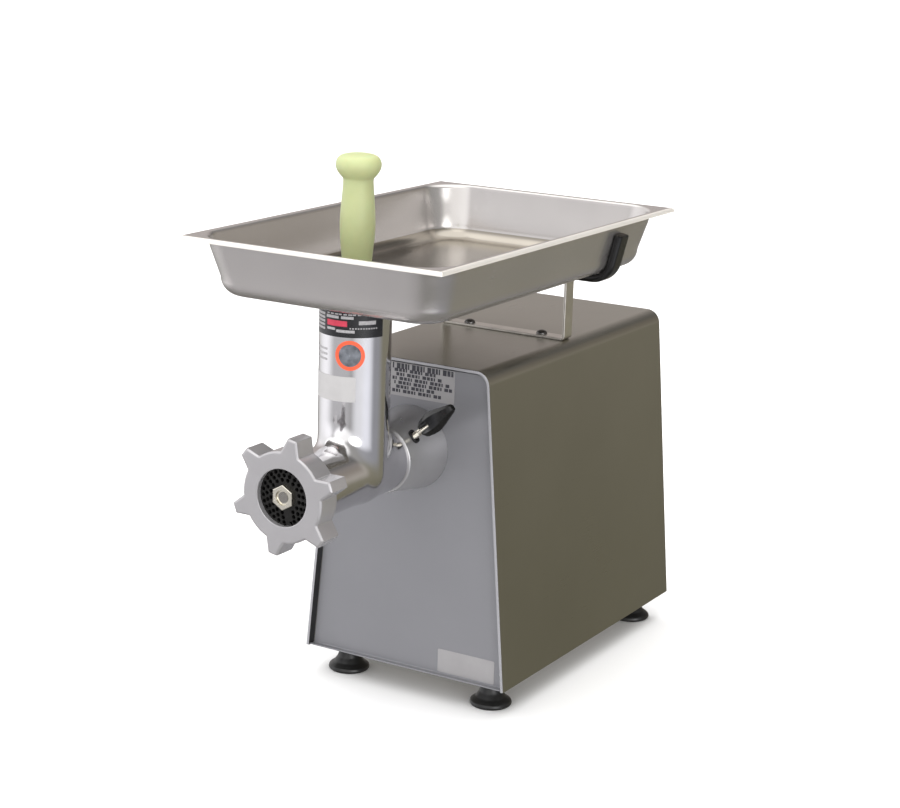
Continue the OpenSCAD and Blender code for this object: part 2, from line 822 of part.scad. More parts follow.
// Worm: a helical flight on a core, a square for the knife and a plain pin in front
module worm() {
    len = worm_back - knife_back - 0.4;
    color([0.8, 0.8, 0.8]) {
        translate([0, worm_back, axis_z]) rotate([90, 0, 0])
            linear_extrude(len, twist = 360 * len / worm_pitch, slices = 75, segments = 30, convexity = 8) {
                circle(13, $fn = 20);
                polygon(concat([[0, 0]], [for (a = [-36:12:36]) worm_r * [cos(a), sin(a)]]));
            }
        rod(13, worm_back, tail_end - 0.5);
        translate([-8, tail_end - 0.5, axis_z - 8]) cube([16, 15, 16]);
        translate([-6, plate_back + 0.1, axis_z - 6]) cube([12, 9.3, 12]);
        rod(5.9, plate_face - 3, plate_back + 0.1);
    }
}

// Four-armed knife on the worm's square
module knife() {
    color([0.7, 0.7, 0.72]) slab(plate_back + 0.1, knife_back - 0.2) translate([0, axis_z]) difference() {
        union() {
            circle(13);
            for (a = [0:90:270]) rotate(a + 20)
                polygon([[6, -6], [33, -7.5], [34, 0], [33, 3], [6, 5]]);
        }
        square(12.2, center = true);
    }
}

hole_rings = [[17.8, 16], [22.6, 21], [27.4, 26]];
key_angle = -78;

module hole_plate() {
    color([0.1, 0.1, 0.1]) difference() {
        rod(plate_r, plate_face, plate_back);
        rod(8.5, plate_face - 1, plate_back + 1);
        for (ring = hole_rings) for (i = [1:ring[1] - 1]) let (a = key_angle + 360 * i / ring[1])
            rod(plate_hole_r, plate_face - 1, plate_back + 1, ring[0] * cos(a), axis_z + ring[0] * sin(a));
        at_key() translate([-3.9, plate_face - 1, -40]) cube([7.8, plate_t + 2, 13.4]);
    }
}

// Bright hexagonal bush in the middle of the plate
module plate_bush() {
    color([0.85, 0.83, 0.78]) difference() {
        union() {
            translate([0, plate_face - 5, axis_z]) rotate([-90, 0, 0]) rotate(90) cylinder(r = 13.8, h = 5, $fn = 6);
            rod(8.5, plate_face, plate_back - 0.1);
        }
        rod(5.95, plate_face - 6, plate_back + 1);
        rod(8, plate_face - 6, plate_face - 2.5);
    }
}

module ring_nut() {
    color([0.75, 0.74, 0.77]) difference() {
        slab(ring_face, ring_face + ring_len) translate([0, axis_z]) {
            circle(ring_root_r);
            for (i = [0:ring_lobes - 1]) rotate(ring_phase + i * 360 / ring_lobes)
                polygon([[44, -13.5], [50, -10.5], [ring_tip_r - 1.5, -6], [ring_tip_r, -4.5],
                    [ring_tip_r, 4.5], [ring_tip_r - 1.5, 6], [50, 10.5], [44, 13.5]]);
        }
        rod(ring_open_r, ring_face - 1, ring_face + ring_len + 1);
        rod(41.3, plate_face - 0.1, ring_face + ring_len + 1);
    }
}

// Feed pan and its bracket --------------------------------------------------

screw_half = 48.8;

// Bent strip: base on the cabinet, two uprights and two hooks under the pan
module pan_bracket() {
    y0 = front + bracket_off - strip_w / 2;
    color([0.7, 0.68, 0.65]) difference() {
        slab(y0, y0 + strip_w) {
            translate([bracket_shift - post_half, top_z]) square([2 * post_half, strip_t]);
            for (s = [-1, 1])
                translate([bracket_shift + s * (post_half - strip_t / 2) - strip_t / 2, top_z])
                    square([strip_t, pan_z - 2 - top_z]);
        }
        bracket_holes();
    }
    color([0.7, 0.68, 0.65]) for (s = [-1, 1]) mirror([s > 0 ? 0 : 1, 0, 0])
        slab(y0, y0 + strip_w)
            hook_band(pan_r + 2, pan_r + 2 + strip_t, s * bracket_shift + post_half - strip_t, 32);
}

module hook_band(inner, outer, start, rise) {
    polygon(concat(hook_line(outer, start, rise), turned_over(hook_line(inner, start, rise))));
}
module bracket_screws() {
    color([0.55, 0.55, 0.55]) for (s = [-1, 1])
        translate([bracket_shift + s * screw_half, front + bracket_off, top_z]) {
            translate([0, 0, -10]) cylinder(r = 2.5, h = 10 + strip_t);
            translate([0, 0, strip_t]) rotate_extrude() polygon(concat([[0, 0]],
                [for (i = [0:8]) [6.5 * cos(i * 11.25), 4.5 * sin(i * 11.25)]]));
            difference() {
                translate([0, 0, -sheet - 5]) cylinder(r = 5, h = 5, $fn = 6);
                translate([0, 0, -sheet - 6]) cylinder(r = 2.5, h = 7);
            }
        }
}

// Black rubber sleeves on the hooks
module pan_sleeves() {
    y = front + bracket_off;
    color([0.05, 0.05, 0.05]) for (s = [-1, 1]) {
        start = s * bracket_shift + post_half + 5;
        mirror([s > 0 ? 0 : 1, 0, 0]) difference() {
            slab(y - 11.5, y + 11.5) hook_band(pan_r + 0.4, pan_r + 6.6, start, 34);
            slab(y - strip_w / 2, y + strip_w / 2) hook_band(pan_r + 2, pan_r + 2 + strip_t, start - 5, 32);
        }
    }
}

spout_r = 29.5;

// Deep-drawn pan with a rolled rim and a welded spout that drops into the feed tube
module feed_pan() {
    color([0.72, 0.71, 0.7]) difference() {
        union() {
            translate([0, pan_y, 0]) {
                difference() {
                    pan_shell(0);
                    pan_shell(1);
                    rounded_slab(wall_high - 1, end_high - 1, 44, rim_z - 3, 5);
                }
                difference() {
                    rounded_slab(pan_w / 2, pan_l / 2, pan_corner_r, rim_z - 4.5, 4.5);
                    rounded_slab(pan_w / 2 - 1.2, pan_l / 2 - 1.2, pan_corner_r - 1.2, rim_z - 6, 4.8);
                    rounded_slab(wall_high - 1, end_high - 1, 44, rim_z - 6, 8);
                }
            }
            translate([0, tube_y, pan_z - 10]) cylinder(r = spout_r, h = 11);
        }
        translate([0, tube_y, pan_z - 12]) cylinder(r = throat_r + 1.5, h = 20);
    }
}

module pan_shell(inset) {
    r = pan_r - inset;
    top = rim_z - 1 + 2 * inset;
    hull() {
        rounded_slab(wall_high - inset, end_high - inset, 45 - inset, top, 0.5);
        for (t = [0:15:90]) rounded_slab(wall_low - inset - r * (1 - cos(t)),
            end_low - inset - r * (1 - cos(t)), 40 - inset - r * (1 - cos(t)),
            pan_z + inset + r * (1 - sin(t)), 0.01);
    }
}

plunger_low = axis_z + bore_r + 1;
plunger_top = foot_h + 603;

// Food pusher: knob, waisted handle and a head that fits the throat
module plunger() {
    color([0.78, 0.84, 0.58]) translate([0, tube_y, 0]) rotate_extrude() polygon(concat(
        [[0, plunger_low], [23.5, plunger_low], [25, plunger_low + 2], [25, plunger_low + 46],
         [23, plunger_low + 50], [15.5, plunger_low + 62], [15, pan_z + 30], [16.5, pan_z + 50],
         [18.6, pan_z + 78], [18, pan_z + 100], [16, pan_z + 124], [16.2, plunger_top - 27],
         [18.5, plunger_top - 25]],
        [for (i = [-3:6]) [16 + 8 * cos(i * 15), plunger_top - 13 + 13 * sin(i * 15)]],
        [[0, plunger_top]]));
}

housing_cover();
base_plate();
front_panel();
rear_panel();
rear_screws();
rubber_feet();
foot_bolts();
cable_gland();
data_plate();
name_plate();
head_collar();
collar_bolts();
clamp_grommet();
clamp_pad();
clamp_screw();
clamp_knob();
grinding_head();
worm_bush();
thrust_washer();
plate_key();
tube_labels();
worm();
knife();
hole_plate();
plate_bush();
ring_nut();
gearbox_housing();
gearbox_cover();
gearbox_screws();
oil_seal();
output_bearings();
output_shaft();
output_gear();
gear_key();
counter_bearings();
countershaft();
counter_gear();
motor_front_shield();
motor_rear_shield();
motor_frame();
motor_stator();
stator_windings();
motor_screws();
motor_cradle();
motor_bearings();
motor_rotor();
motor_shaft();
motor_pinion();
motor_fan();
fan_cover();
motor_capacitor();
switch_plate();
switch_block();
start_button();
stop_button();
pan_bracket();
bracket_screws();
pan_sleeves();
feed_pan();
plunger();
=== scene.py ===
"""Looks for the electric meat grinder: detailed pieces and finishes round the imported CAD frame.

Lengths in this file are millimetres until publish() scales them to metres.
X runs to the right as seen from the ring nut, Y from the ring nut to the back, Z up from the table.
"""
import json
import math

import bmesh
import bpy
import numpy as np
from mathutils import Matrix, Vector
from mathutils.geometry import tessellate_polygon


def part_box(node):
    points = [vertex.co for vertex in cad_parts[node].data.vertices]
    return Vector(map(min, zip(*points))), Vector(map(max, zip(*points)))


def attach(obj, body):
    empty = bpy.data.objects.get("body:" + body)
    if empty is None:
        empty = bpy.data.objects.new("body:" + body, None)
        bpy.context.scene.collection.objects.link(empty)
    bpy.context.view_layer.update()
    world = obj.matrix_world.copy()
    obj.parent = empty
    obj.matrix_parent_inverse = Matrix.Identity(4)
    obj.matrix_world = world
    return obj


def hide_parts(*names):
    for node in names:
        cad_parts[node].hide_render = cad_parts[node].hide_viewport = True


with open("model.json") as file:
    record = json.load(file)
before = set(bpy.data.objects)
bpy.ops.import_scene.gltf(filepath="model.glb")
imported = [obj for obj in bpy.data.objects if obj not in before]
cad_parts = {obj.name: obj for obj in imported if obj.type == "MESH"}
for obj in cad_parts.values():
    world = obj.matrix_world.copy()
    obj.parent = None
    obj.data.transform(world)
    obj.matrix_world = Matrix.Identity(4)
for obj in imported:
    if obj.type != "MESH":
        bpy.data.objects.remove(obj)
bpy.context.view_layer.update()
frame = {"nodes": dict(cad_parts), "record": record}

MM = 0.001
ROUND = 96


def span(node, axis):
    """Lowest and highest millimetre of a CAD node along one axis."""
    low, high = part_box(node)
    return low[axis] / MM, high[axis] / MM


def middle(node, axis):
    return sum(span(node, axis)) / 2


# ---- Main dimensions, from the CAD frame where it shows them ----

BASE_Z, TOP_Z = span("housing_cover", 2)
FRONT, REAR = span("housing_cover", 1)
BASE_HALF = span("housing_cover", 0)[1]
TOP_HALF = 101
TOP_R = 17
SHEET = 1.5
FRAME_T = 2
LIP_DEPTH = 6.4
RECESS = 8
PANEL_Y = FRONT + RECESS
BACK_PANEL_Y = REAR - RECESS - SHEET
SLOPE = (BASE_HALF - TOP_HALF) / (TOP_Z - BASE_Z)
FLARE = math.atan(SLOPE)

AXIS_Z = middle("head_collar", 2)
TUBE_Y = middle("plunger", 1)
TUBE_R = 38.5
BARREL_R = 36.5
THROAT_R = 26
BORE_R = 30.5
RIM_Y = span("head_collar", 1)[0]
TAIL_R = 31
COLLAR_R = 47.5
TAIL_END = span("grinding_head", 1)[1]
RING_FACE, RING_BACK = span("ring_nut", 1)
PLATE_FACE, PLATE_BACK = span("hole_plate", 1)
KNIFE_BACK = PLATE_BACK + 9
BORE_END = span("thrust_washer", 1)[1]
KEY_ANGLE = -78

PAN_Z = span("feed_pan", 2)[0] + 10
RIM_Z = span("feed_pan", 2)[1]
PAN_Y = middle("feed_pan", 1)
PAN_HALF_X = span("feed_pan", 0)[1]
PAN_HALF_Y = span("feed_pan", 1)[1] - PAN_Y
WALL_LOW, WALL_HIGH = 142, 153
END_LOW, END_HIGH = PAN_HALF_Y - 23, PAN_HALF_Y - 10
PAN_R, PAN_CORNER = 20, 40
PAN_SHEET = 1.2
RIM_CORNER = 2.6

BRACKET_Y = middle("pan_bracket", 1)
STRIP_T, STRIP_W = 3, 19
BRACKET_X = middle("bracket_screws", 0)
POST_HALF = 83.5
HOOK_RISE = 32
CLAMP_TILT = 40
THREAD_PITCH = 1.25
KNOB_HALF_T = 7
FOOT_X, FOOT_FRONT, FOOT_REAR = 97, 38, 395
BUTTON_X = 18
LONGEST_EDGE = 60


# ---- Mesh helpers ----

def turn(angle):
    return math.cos(math.radians(angle)), math.sin(math.radians(angle))


def arc(cx, cy, r, a0, a1, steps):
    turns = [turn(a0 + (a1 - a0) * i / steps) for i in range(steps + 1)]
    return [(cx + r * c, cy + r * s) for c, s in turns]


def circle(cx, cy, r, steps=48, a0=0):
    return arc(cx, cy, r, a0, a0 + 360, steps)[:-1]


def round_hole(cx, cy, r, steps=48):
    """A circle that runs the way a slab's holes do."""
    return circle(cx, cy, r, steps)[::-1]


def fillet(points, radii, closed=True, step=9):
    """The polyline with its corners rounded; radii is one number or one a corner."""
    out = []
    n = len(points)
    for i, p in enumerate(points):
        r = radii if isinstance(radii, (int, float)) else radii[i]
        p = Vector(p)
        if r <= 0 or (not closed and i in (0, n - 1)):
            out.append(tuple(p))
            continue
        a, b = Vector(points[i - 1]) - p, Vector(points[(i + 1) % n]) - p
        reach = 0.49 * min(a.length, b.length)
        a.normalize()
        b.normalize()
        angle = a.angle(b)
        if angle > math.pi - 0.01:
            out.append(tuple(p))
            continue
        t = min(r / math.tan(angle / 2), reach)
        r = t * math.tan(angle / 2)
        centre = p + (a + b).normalized() * (r / math.sin(angle / 2))
        v0, v1 = p + a * t - centre, p + b * t - centre
        sweep = (math.pi - angle) * (1 if v0.x * v1.y - v0.y * v1.x > 0 else -1)
        k = max(2, math.ceil(abs(math.degrees(sweep)) / step))
        for j in range(k + 1):
            q = sweep * j / k
            c, s = math.cos(q), math.sin(q)
            out.append((centre.x + c * v0.x - s * v0.y, centre.y + s * v0.x + c * v0.y))
    return out


def inset(loop, d):
    """A closed loop moved to its left by d: inwards if it runs counter-clockwise."""
    p = np.array(loop, float)
    e0 = p - np.roll(p, 1, 0)
    e1 = np.roll(p, -1, 0) - p
    e0 /= np.linalg.norm(e0, axis=1)[:, None]
    e1 /= np.linalg.norm(e1, axis=1)[:, None]
    n0 = np.stack([-e0[:, 1], e0[:, 0]], 1)
    n1 = np.stack([-e1[:, 1], e1[:, 0]], 1)
    return p + (n0 + n1) * (d / (1 + (n0 * n1).sum(1)))[:, None]


def shape():
    return bmesh.new()


def row_of(bm, points):
    return [bm.verts.new(p) for p in points]


def level_row(bm, loop, z, place=Matrix()):
    return row_of(bm, [place @ Vector((x, y, z)) for x, y in loop])


def skin(bm, a, b, closed=True):
    """Faces between two rows of vertices; a row of one vertex is a pole."""
    n = max(len(a), len(b))
    for i in range(n if closed else n - 1):
        j = (i + 1) % n
        loop = []
        for v in (a[i % len(a)], a[j % len(a)], b[j % len(b)], b[i % len(b)]):
            if v not in loop:
                loop.append(v)
        if len(loop) > 2:
            bm.faces.new(loop)


def loft(bm, rows, closed=True):
    """Skins each row of vertices to the next."""
    for a, b in zip(rows, rows[1:]):
        skin(bm, a, b, closed)


def lid(bm, rows, flat):
    """Flat cap over one or more loops of vertices, given with their 2-D outlines."""
    verts = [v for row in rows for v in row]
    outline = [[Vector((x, y, 0)) for x, y in loop] for loop in flat]
    for tri in tessellate_polygon(outline):
        if len(set(tri)) == 3:
            bm.faces.new([verts[i] for i in tri])


def lathe(bm, profile, place, segments=ROUND, closed=False):
    """Turns a profile of (radius, height) about the place's Z axis."""
    rows = []
    for r, h in profile:
        ring = circle(0, 0, r, segments) if r > 1e-6 else [(0, 0)]
        rows.append(level_row(bm, ring, h, place))
    loft(bm, rows + (rows[:1] if closed else []))
    return bm


def slab(bm, loops, levels, place):
    """A plate with holes: loops run material-left, levels are (height, inset of the edge)."""
    rows = []
    for w, d in levels:
        moved = [inset(loop, d) for loop in loops]
        rows.append(([level_row(bm, loop, w, place) for loop in moved], moved))
    for (low, _), (high, _) in zip(rows, rows[1:]):
        for a, b in zip(low, high):
            skin(bm, a, b)
    for row, flat in (rows[0], rows[-1]):
        lid(bm, row, flat)
    return bm


def rounded_levels(w0, w1, r, steps=3):
    """Slab levels with both edges rounded to radius r."""
    way = 1 if w1 > w0 else -1
    turns = [turn(90 * i / steps) for i in range(steps + 1)]
    first = [(w0 + r * (1 - c) * way, r * (1 - s)) for c, s in turns]
    return first + [(w1 - (w - w0), d) for w, d in reversed(first)]


def box_loop(u0, v0, u1, v1, r=0, step=9):
    loop = [(u0, v0), (u1, v0), (u1, v1), (u0, v1)]
    return fillet(loop, r, step=step) if r else loop


def strip_points(path, section):
    """For each point of an XZ path, the 3-D points of a section of (offset to the left, y)."""
    p = np.array(path, float)
    e = p[1:] - p[:-1]
    e /= np.linalg.norm(e, axis=1)[:, None]
    n = np.stack([-e[:, 1], e[:, 0]], 1)
    n0 = np.vstack([n[:1], n])
    n1 = np.vstack([n, n[-1:]])
    m = (n0 + n1) / (1 + (n0 * n1).sum(1))[:, None]
    return [[Vector((q[0] + k[0] * d, y, q[1] + k[1] * d)) for d, y in section] for q, k in zip(p, m)]


def sweep(bm, path, section):
    rows = [row_of(bm, row) for row in strip_points(path, section)]
    loft(bm, rows)
    for end in (rows[0], rows[-1]):
        lid(bm, [end], [section])
    return bm


SWAP_YZ = Matrix(((1, 0, 0, 0), (0, 0, 1, 0), (0, 1, 0, 0), (0, 0, 0, 1)))
FLIP = Matrix.Rotation(math.pi, 4, "X")


def along_y(z=AXIS_Z, x=0, y=0):
    """Place whose heights run along +Y."""
    return Matrix.Translation((x, y, z)) @ SWAP_YZ


def upright(x, y, z=0):
    return Matrix.Translation((x, y, z))


def along_clamp():
    """The clamping screw's frame: Z outwards from the worm's axis, X down the knob's face."""
    c, s = turn(CLAMP_TILT)
    turned = Matrix(((s, 0, c, 0), (0, 1, 0, 0), (-c, 0, s, 0), (0, 0, 0, 1)))
    return Matrix.Translation((0, FRONT - 38, AXIS_Z)) @ turned


def on_left_wall(y, z):
    """Frame on the cabinet's left wall: Z out of the wall, X up it."""
    x = -(BASE_HALF - SLOPE * (z - BASE_Z))
    c, s = math.cos(FLARE), math.sin(FLARE)
    turned = Matrix(((s, 0, -c, 0), (0, -1, 0, 0), (c, 0, s, 0), (0, 0, 0, 1)))
    return Matrix.Translation((x, y, z)) @ turned


def as_mesh(bm, name):
    mesh = bpy.data.meshes.new(name)
    bm.to_mesh(mesh)
    bm.free()
    return mesh


def in_scene(name, data):
    obj = bpy.data.objects.new(name, data)
    bpy.context.scene.collection.objects.link(obj)
    return obj


def temporary(bm, name):
    bmesh.ops.recalc_face_normals(bm, faces=bm.faces)
    return in_scene(name, as_mesh(bm, name))


def evaluated(obj, leftovers=()):
    """The mesh after obj's modifiers, as a bmesh; obj and its tools are removed."""
    bpy.context.view_layer.update()
    graph = bpy.context.evaluated_depsgraph_get()
    mesh = bpy.data.meshes.new_from_object(obj.evaluated_get(graph))
    bm = shape()
    bm.from_mesh(mesh)
    bpy.data.meshes.remove(mesh)
    for o in (obj, *leftovers):
        bpy.data.objects.remove(o)
    return bm


def carve(bm, *steps):
    """Booleans one after another: each step is (UNION or DIFFERENCE, a bmesh)."""
    obj = temporary(bm, "carved")
    tools = []
    for operation, tool in steps:
        tools.append(temporary(tool, "carving_tool"))
        cut = obj.modifiers.new("cut", "BOOLEAN")
        cut.operation = operation
        cut.object = tools[-1]
        cut.solver = "MANIFOLD"
    return evaluated(obj, tools)


def publish(name, bm, body, slot, look, *nodes, sharp=32, weighted=True):
    """Turns a bmesh in millimetres into a shown piece that rides on a CAD body."""
    bmesh.ops.remove_doubles(bm, verts=bm.verts, dist=1e-4)
    bmesh.ops.dissolve_degenerate(bm, edges=bm.edges, dist=1e-5)
    bmesh.ops.recalc_face_normals(bm, faces=bm.faces)
    bmesh.ops.scale(bm, vec=(MM, MM, MM), verts=bm.verts)
    mesh = as_mesh(bm, name)
    mesh.polygons.foreach_set("use_smooth", [True] * len(mesh.polygons))
    mesh.set_sharp_from_angle(angle=math.radians(sharp))
    mesh.materials.append(look)
    obj = in_scene(name, mesh)
    if weighted:
        obj.modifiers.new("even_normals", "WEIGHTED_NORMAL").keep_sharp = True
    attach(obj, body)
    if nodes:
        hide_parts(*nodes)
    return obj


# ---- Materials ----

def new_node(tree, kind, **inputs):
    """A shader node with some inputs set; an underscore in a name stands for a space."""
    node = tree.nodes.new("ShaderNode" + kind)
    for key, value in inputs.items():
        node.inputs[key.replace("_", " ")].default_value = value
    return node


def look(name, colour, metallic=0, rough=0.4, vary=0.06, patch=16, rough_vary=0.06,
         grain=None, relief=None, **sockets):
    """A finish with patchy colour and gloss.

    grain is (stretch of the brushed lines, depth), relief is (scale of the unevenness, depth);
    both depths are in micrometres.
    """
    mat = bpy.data.materials.new(name)
    mat.use_nodes = True
    tree = mat.node_tree
    links = tree.links
    shader = tree.nodes["Principled BSDF"]
    for key, value in {"Metallic": metallic, **sockets}.items():
        shader.inputs[key.replace("_", " ")].default_value = value
    place = new_node(tree, "TexCoord")

    def noise(scale, detail, stretch=(1, 1, 1), roughness=0.55):
        fit = new_node(tree, "Mapping", Scale=stretch)
        links.new(place.outputs["Object"], fit.inputs["Vector"])
        tex = new_node(tree, "TexNoise", Scale=scale, Detail=detail, Roughness=roughness)
        links.new(fit.outputs["Vector"], tex.inputs["Vector"])
        return tex.outputs["Fac"]

    def ranged(value, low, high):
        fit = new_node(tree, "MapRange", From_Min=0.3, From_Max=0.7, To_Min=low, To_Max=high)
        links.new(value, fit.inputs["Value"])
        return fit.outputs["Result"]

    blend = new_node(tree, "Mix")
    blend.data_type = "RGBA"
    blend.inputs["A"].default_value = (*[c * (1 - vary) for c in colour], 1)
    blend.inputs["B"].default_value = (*[min(1, c * (1 + vary)) for c in colour], 1)
    links.new(ranged(noise(patch, 4), 0, 1), blend.inputs["Factor"])
    links.new(blend.outputs["Result"], shader.inputs["Base Color"])

    gloss = noise(patch * 2.3, 3)
    heights = []
    if grain:
        lines = noise(1, 3, grain[0], 0.7)
        mean = new_node(tree, "Mix", Factor=0.5)
        links.new(gloss, mean.inputs["A"])
        links.new(lines, mean.inputs["B"])
        gloss = mean.outputs["Result"]
        heights.append((lines, grain[1]))
    if relief:
        heights.append((noise(relief[0], 3), relief[1]))
    links.new(ranged(gloss, max(0.02, rough - rough_vary), rough + rough_vary), shader.inputs["Roughness"])
    last = None
    for height, depth in heights:
        bump = new_node(tree, "Bump", Strength=1, Distance=depth * 1e-6)
        links.new(height, bump.inputs["Height"])
        if last:
            links.new(last, bump.inputs["Normal"])
        last = bump.outputs["Normal"]
    if last:
        links.new(last, shader.inputs["Normal"])
    return mat


ALONG_X = (6, 900, 900)
ALONG_Y = (900, 6, 900)

WRAP = look("brushed_wrap", (0.385, 0.372, 0.325), 1, 0.3, vary=0.04, patch=5, rough_vary=0.03,
            grain=(ALONG_Y, 6), relief=(5, 80))
# near-black painted shade on the wrap's own front lip, standing in for the shadow in the recess
LIP_PAINTED_SHADE = look("lip_painted_shade", (0.03, 0.03, 0.03), 0.6, 0.45, vary=0.2, patch=20)
FACE = look("satin_front", (0.25, 0.25, 0.266), 0.45, 0.4, vary=0.03, patch=6, rough_vary=0.03, grain=(ALONG_X, 5),
            relief=(5, 60))
SATIN = look("satin_steel", (0.6, 0.59, 0.61), 1, 0.3, vary=0.04, patch=22, rough_vary=0.04, grain=(ALONG_Y, 4))
NUT = look("satin_nut", (0.43, 0.42, 0.43), 0.62, 0.22, vary=0.03, patch=30, rough_vary=0.03, relief=(40, 10))
POLISHED = look("polished_steel", (0.72, 0.71, 0.72), 1, 0.12, vary=0.03, patch=24, rough_vary=0.03, relief=(26, 60))
PANSTEEL = look("drawn_pan", (0.58, 0.555, 0.54), 0.88, 0.24, vary=0.04, patch=9, rough_vary=0.04,
                grain=(ALONG_Y, 1), relief=(7, 100))
# darker copy of the pan steel for the floor and the lower inner curve: painted shade over the curve's reflection
PAN_FLOOR_PAINTED_SHADE = look("pan_floor_painted_shade", (0.37, 0.34, 0.295), 1, 0.2, vary=0.06, patch=9, rough_vary=0.04, grain=(ALONG_Y, 4),
                relief=(7, 100))
# brighter copy of the pan steel for the rolled rim: a painted highlight standing in for its reflection
RIM_PAINTED_HIGHLIGHT = look("pan_edge_painted_highlight", (0.8, 0.765, 0.715), 0.45, 0.24, vary=0.03, patch=30, rough_vary=0.03)
# lighter copy of the wrap steel for the folded front edge: a painted highlight
HEM_PAINTED_HIGHLIGHT = look("hem_painted_highlight", (0.4, 0.4, 0.42), 0.45, 0.32, vary=0.03, patch=14)
COLLAR = look("satin_collar", (0.56, 0.555, 0.56), 0.84, 0.3, vary=0.03, patch=22, rough_vary=0.03, relief=(40, 10))
STRIP = look("zinc_strip", (0.72, 0.69, 0.64), 1, 0.34, vary=0.07, patch=60, relief=(180, 50))
RUBBER = look("black_rubber", (0.007, 0.007, 0.007), 0, 0.38, vary=0.3, patch=70, rough_vary=0.1, relief=(900, 30))
GLOSS_BLACK = look("black_plastic", (0.006, 0.006, 0.006), 0, 0.17, vary=0.25, patch=50, rough_vary=0.06,
                   relief=(420, 30))
DARK = look("dark_screws", (0.16, 0.155, 0.15), 1, 0.36, vary=0.15, patch=160, relief=(700, 30))
BLUED = look("blued_plate", (0.012, 0.0115, 0.011), 0.1, 0.5, vary=0.3, patch=120, rough_vary=0.1, relief=(500, 40),
             Specular_IOR_Level=0.22)
# darker steel for the worm, whose end shows in the bush's recess: painted shade in that recess
WORM_PAINTED_SHADE = look("worm_steel_painted_shade", (0.34, 0.325, 0.3), 1, 0.26, vary=0.1, patch=70, relief=(260, 40))
BUSH = look("bright_bush", (0.8, 0.76, 0.66), 1, 0.24, vary=0.06, patch=120, relief=(300, 40))
LIME = look("lime_plastic", (0.45, 0.49, 0.245), 0, 0.42, vary=0.05, patch=30, rough_vary=0.08, relief=(240, 100),
            Subsurface_Weight=0.12, Subsurface_Scale=0.006)
LABEL = look("blank_label", (0.45, 0.44, 0.44), 0, 0.42, vary=0.05, patch=60, rough_vary=0.05, relief=(300, 20))
LABEL_BLACK = look("label_black", (0.01, 0.01, 0.012), 0, 0.3, vary=0.2, patch=60)
DATA = look("data_plate_face", (0.36, 0.35, 0.355), 0.35, 0.4, vary=0.04, patch=40, relief=(200, 10))
DISC = look("disc_centre", (0.12, 0.13, 0.15), 0, 0.42, vary=0.5, patch=130)
LABEL_GREY = look("label_grey", (0.36, 0.35, 0.36), 0, 0.42, vary=0.18, patch=420)
LABEL_RED = look("label_red", (0.55, 0.03, 0.07), 0, 0.4, vary=0.12, patch=200)
LABEL_ORANGE = look("label_orange", (0.8, 0.1, 0.035), 0, 0.38, vary=0.1, patch=90)
PRINT = look("plate_print", (0.035, 0.035, 0.045), 0, 0.45, vary=0.3, patch=300)
GREEN = look("green_button", (0.02, 0.28, 0.06), 0, 0.28, vary=0.08, patch=80, relief=(400, 20))
RED = look("red_button", (0.55, 0.02, 0.015), 0, 0.28, vary=0.08, patch=80, relief=(400, 20))

CAD_LOOKS = {
    "brushed_steel": WRAP, "satin_steel": SATIN, "polished_steel": POLISHED, "zinc_steel": STRIP,
    "black_rubber": RUBBER, "black_plastic": GLOSS_BLACK, "blank_label": LABEL, "dark_screws": DARK,
    "blued_steel": BLUED, "green_plastic": GREEN, "red_plastic": RED, "lime_plastic": LIME,
    "bronze": look("bronze", (0.62, 0.4, 0.18), 1, 0.34, vary=0.1, patch=90, relief=(400, 40)),
    "white_plastic": look("white_plastic", (0.8, 0.79, 0.75), 0, 0.4, vary=0.05, patch=60, relief=(300, 40)),
    "tool_steel": look("tool_steel", (0.48, 0.47, 0.46), 1, 0.28, vary=0.1, patch=70, relief=(260, 50)),
    "cast_aluminium": look("cast_aluminium", (0.5, 0.51, 0.52), 1, 0.55, vary=0.08, patch=40, relief=(420, 150)),
    "painted_motor": look("painted_motor", (0.055, 0.065, 0.08), 0, 0.45, vary=0.15, patch=60, relief=(300, 80)),
    "core_steel": look("core_steel", (0.3, 0.3, 0.31), 1, 0.42, vary=0.12, patch=60, grain=(ALONG_X, 20)),
    "copper": look("copper_winding", (0.72, 0.33, 0.14), 1, 0.35, vary=0.15, patch=80, grain=(ALONG_X, 60)),
}
for entry in frame["record"]["subparts"]:
    carried = frame["nodes"][entry["node"]].data
    carried.materials.clear()
    # the worm gets the darker steel that paints shade into the bush's recess
    carried.materials.append(WORM_PAINTED_SHADE if entry["node"] == "worm" else CAD_LOOKS[entry["material_slot"]])


# ---- Cabinet ----

def side_x(z, d):
    """Half-width of the cabinet at height z, d inside the outer face."""
    return BASE_HALF - SLOPE * (z - BASE_Z) - d / math.cos(FLARE)


def outline(d, low, arc_steps=14):
    """The cabinet's outline in XZ, from the bottom left over the top to the bottom right."""
    r = max(TOP_R - d, 2)
    z = TOP_Z - d - r
    x = side_x(z, d) - r / math.cos(FLARE)
    right = [(side_x(low, d), low)] + arc(x, z, r, math.degrees(FLARE), 90, arc_steps)
    return [(-a, b) for a, b in right] + right[::-1]


def closed_outline(d, low):
    return outline(d, low)[::-1]


def cabinet_section():
    """Wrap sheet with both ends folded in as sloping lips, as (depth into the sheet, y)."""
    y, lip = PANEL_Y, LIP_DEPTH
    front_lip = [(SHEET, y - 0.4), (lip, y - 0.4), (lip, y - 1.1)]
    y = BACK_PANEL_Y + SHEET
    rear_lip = [(lip, y + 1.1), (lip, y + 0.4), (SHEET, y + 0.4)]
    # from the lip round the folded edge to the outer face
    fold = [(4, 1.5), (3.6, 0.4), (3, 0), (1.2, 0), (0.4, 0.4), (0, 1.3)]
    front_edge = [(d, FRONT + y) for d, y in fold]
    rear_edge = [(d, REAR - y) for d, y in reversed(fold)]
    return front_lip + front_edge + rear_edge + rear_lip


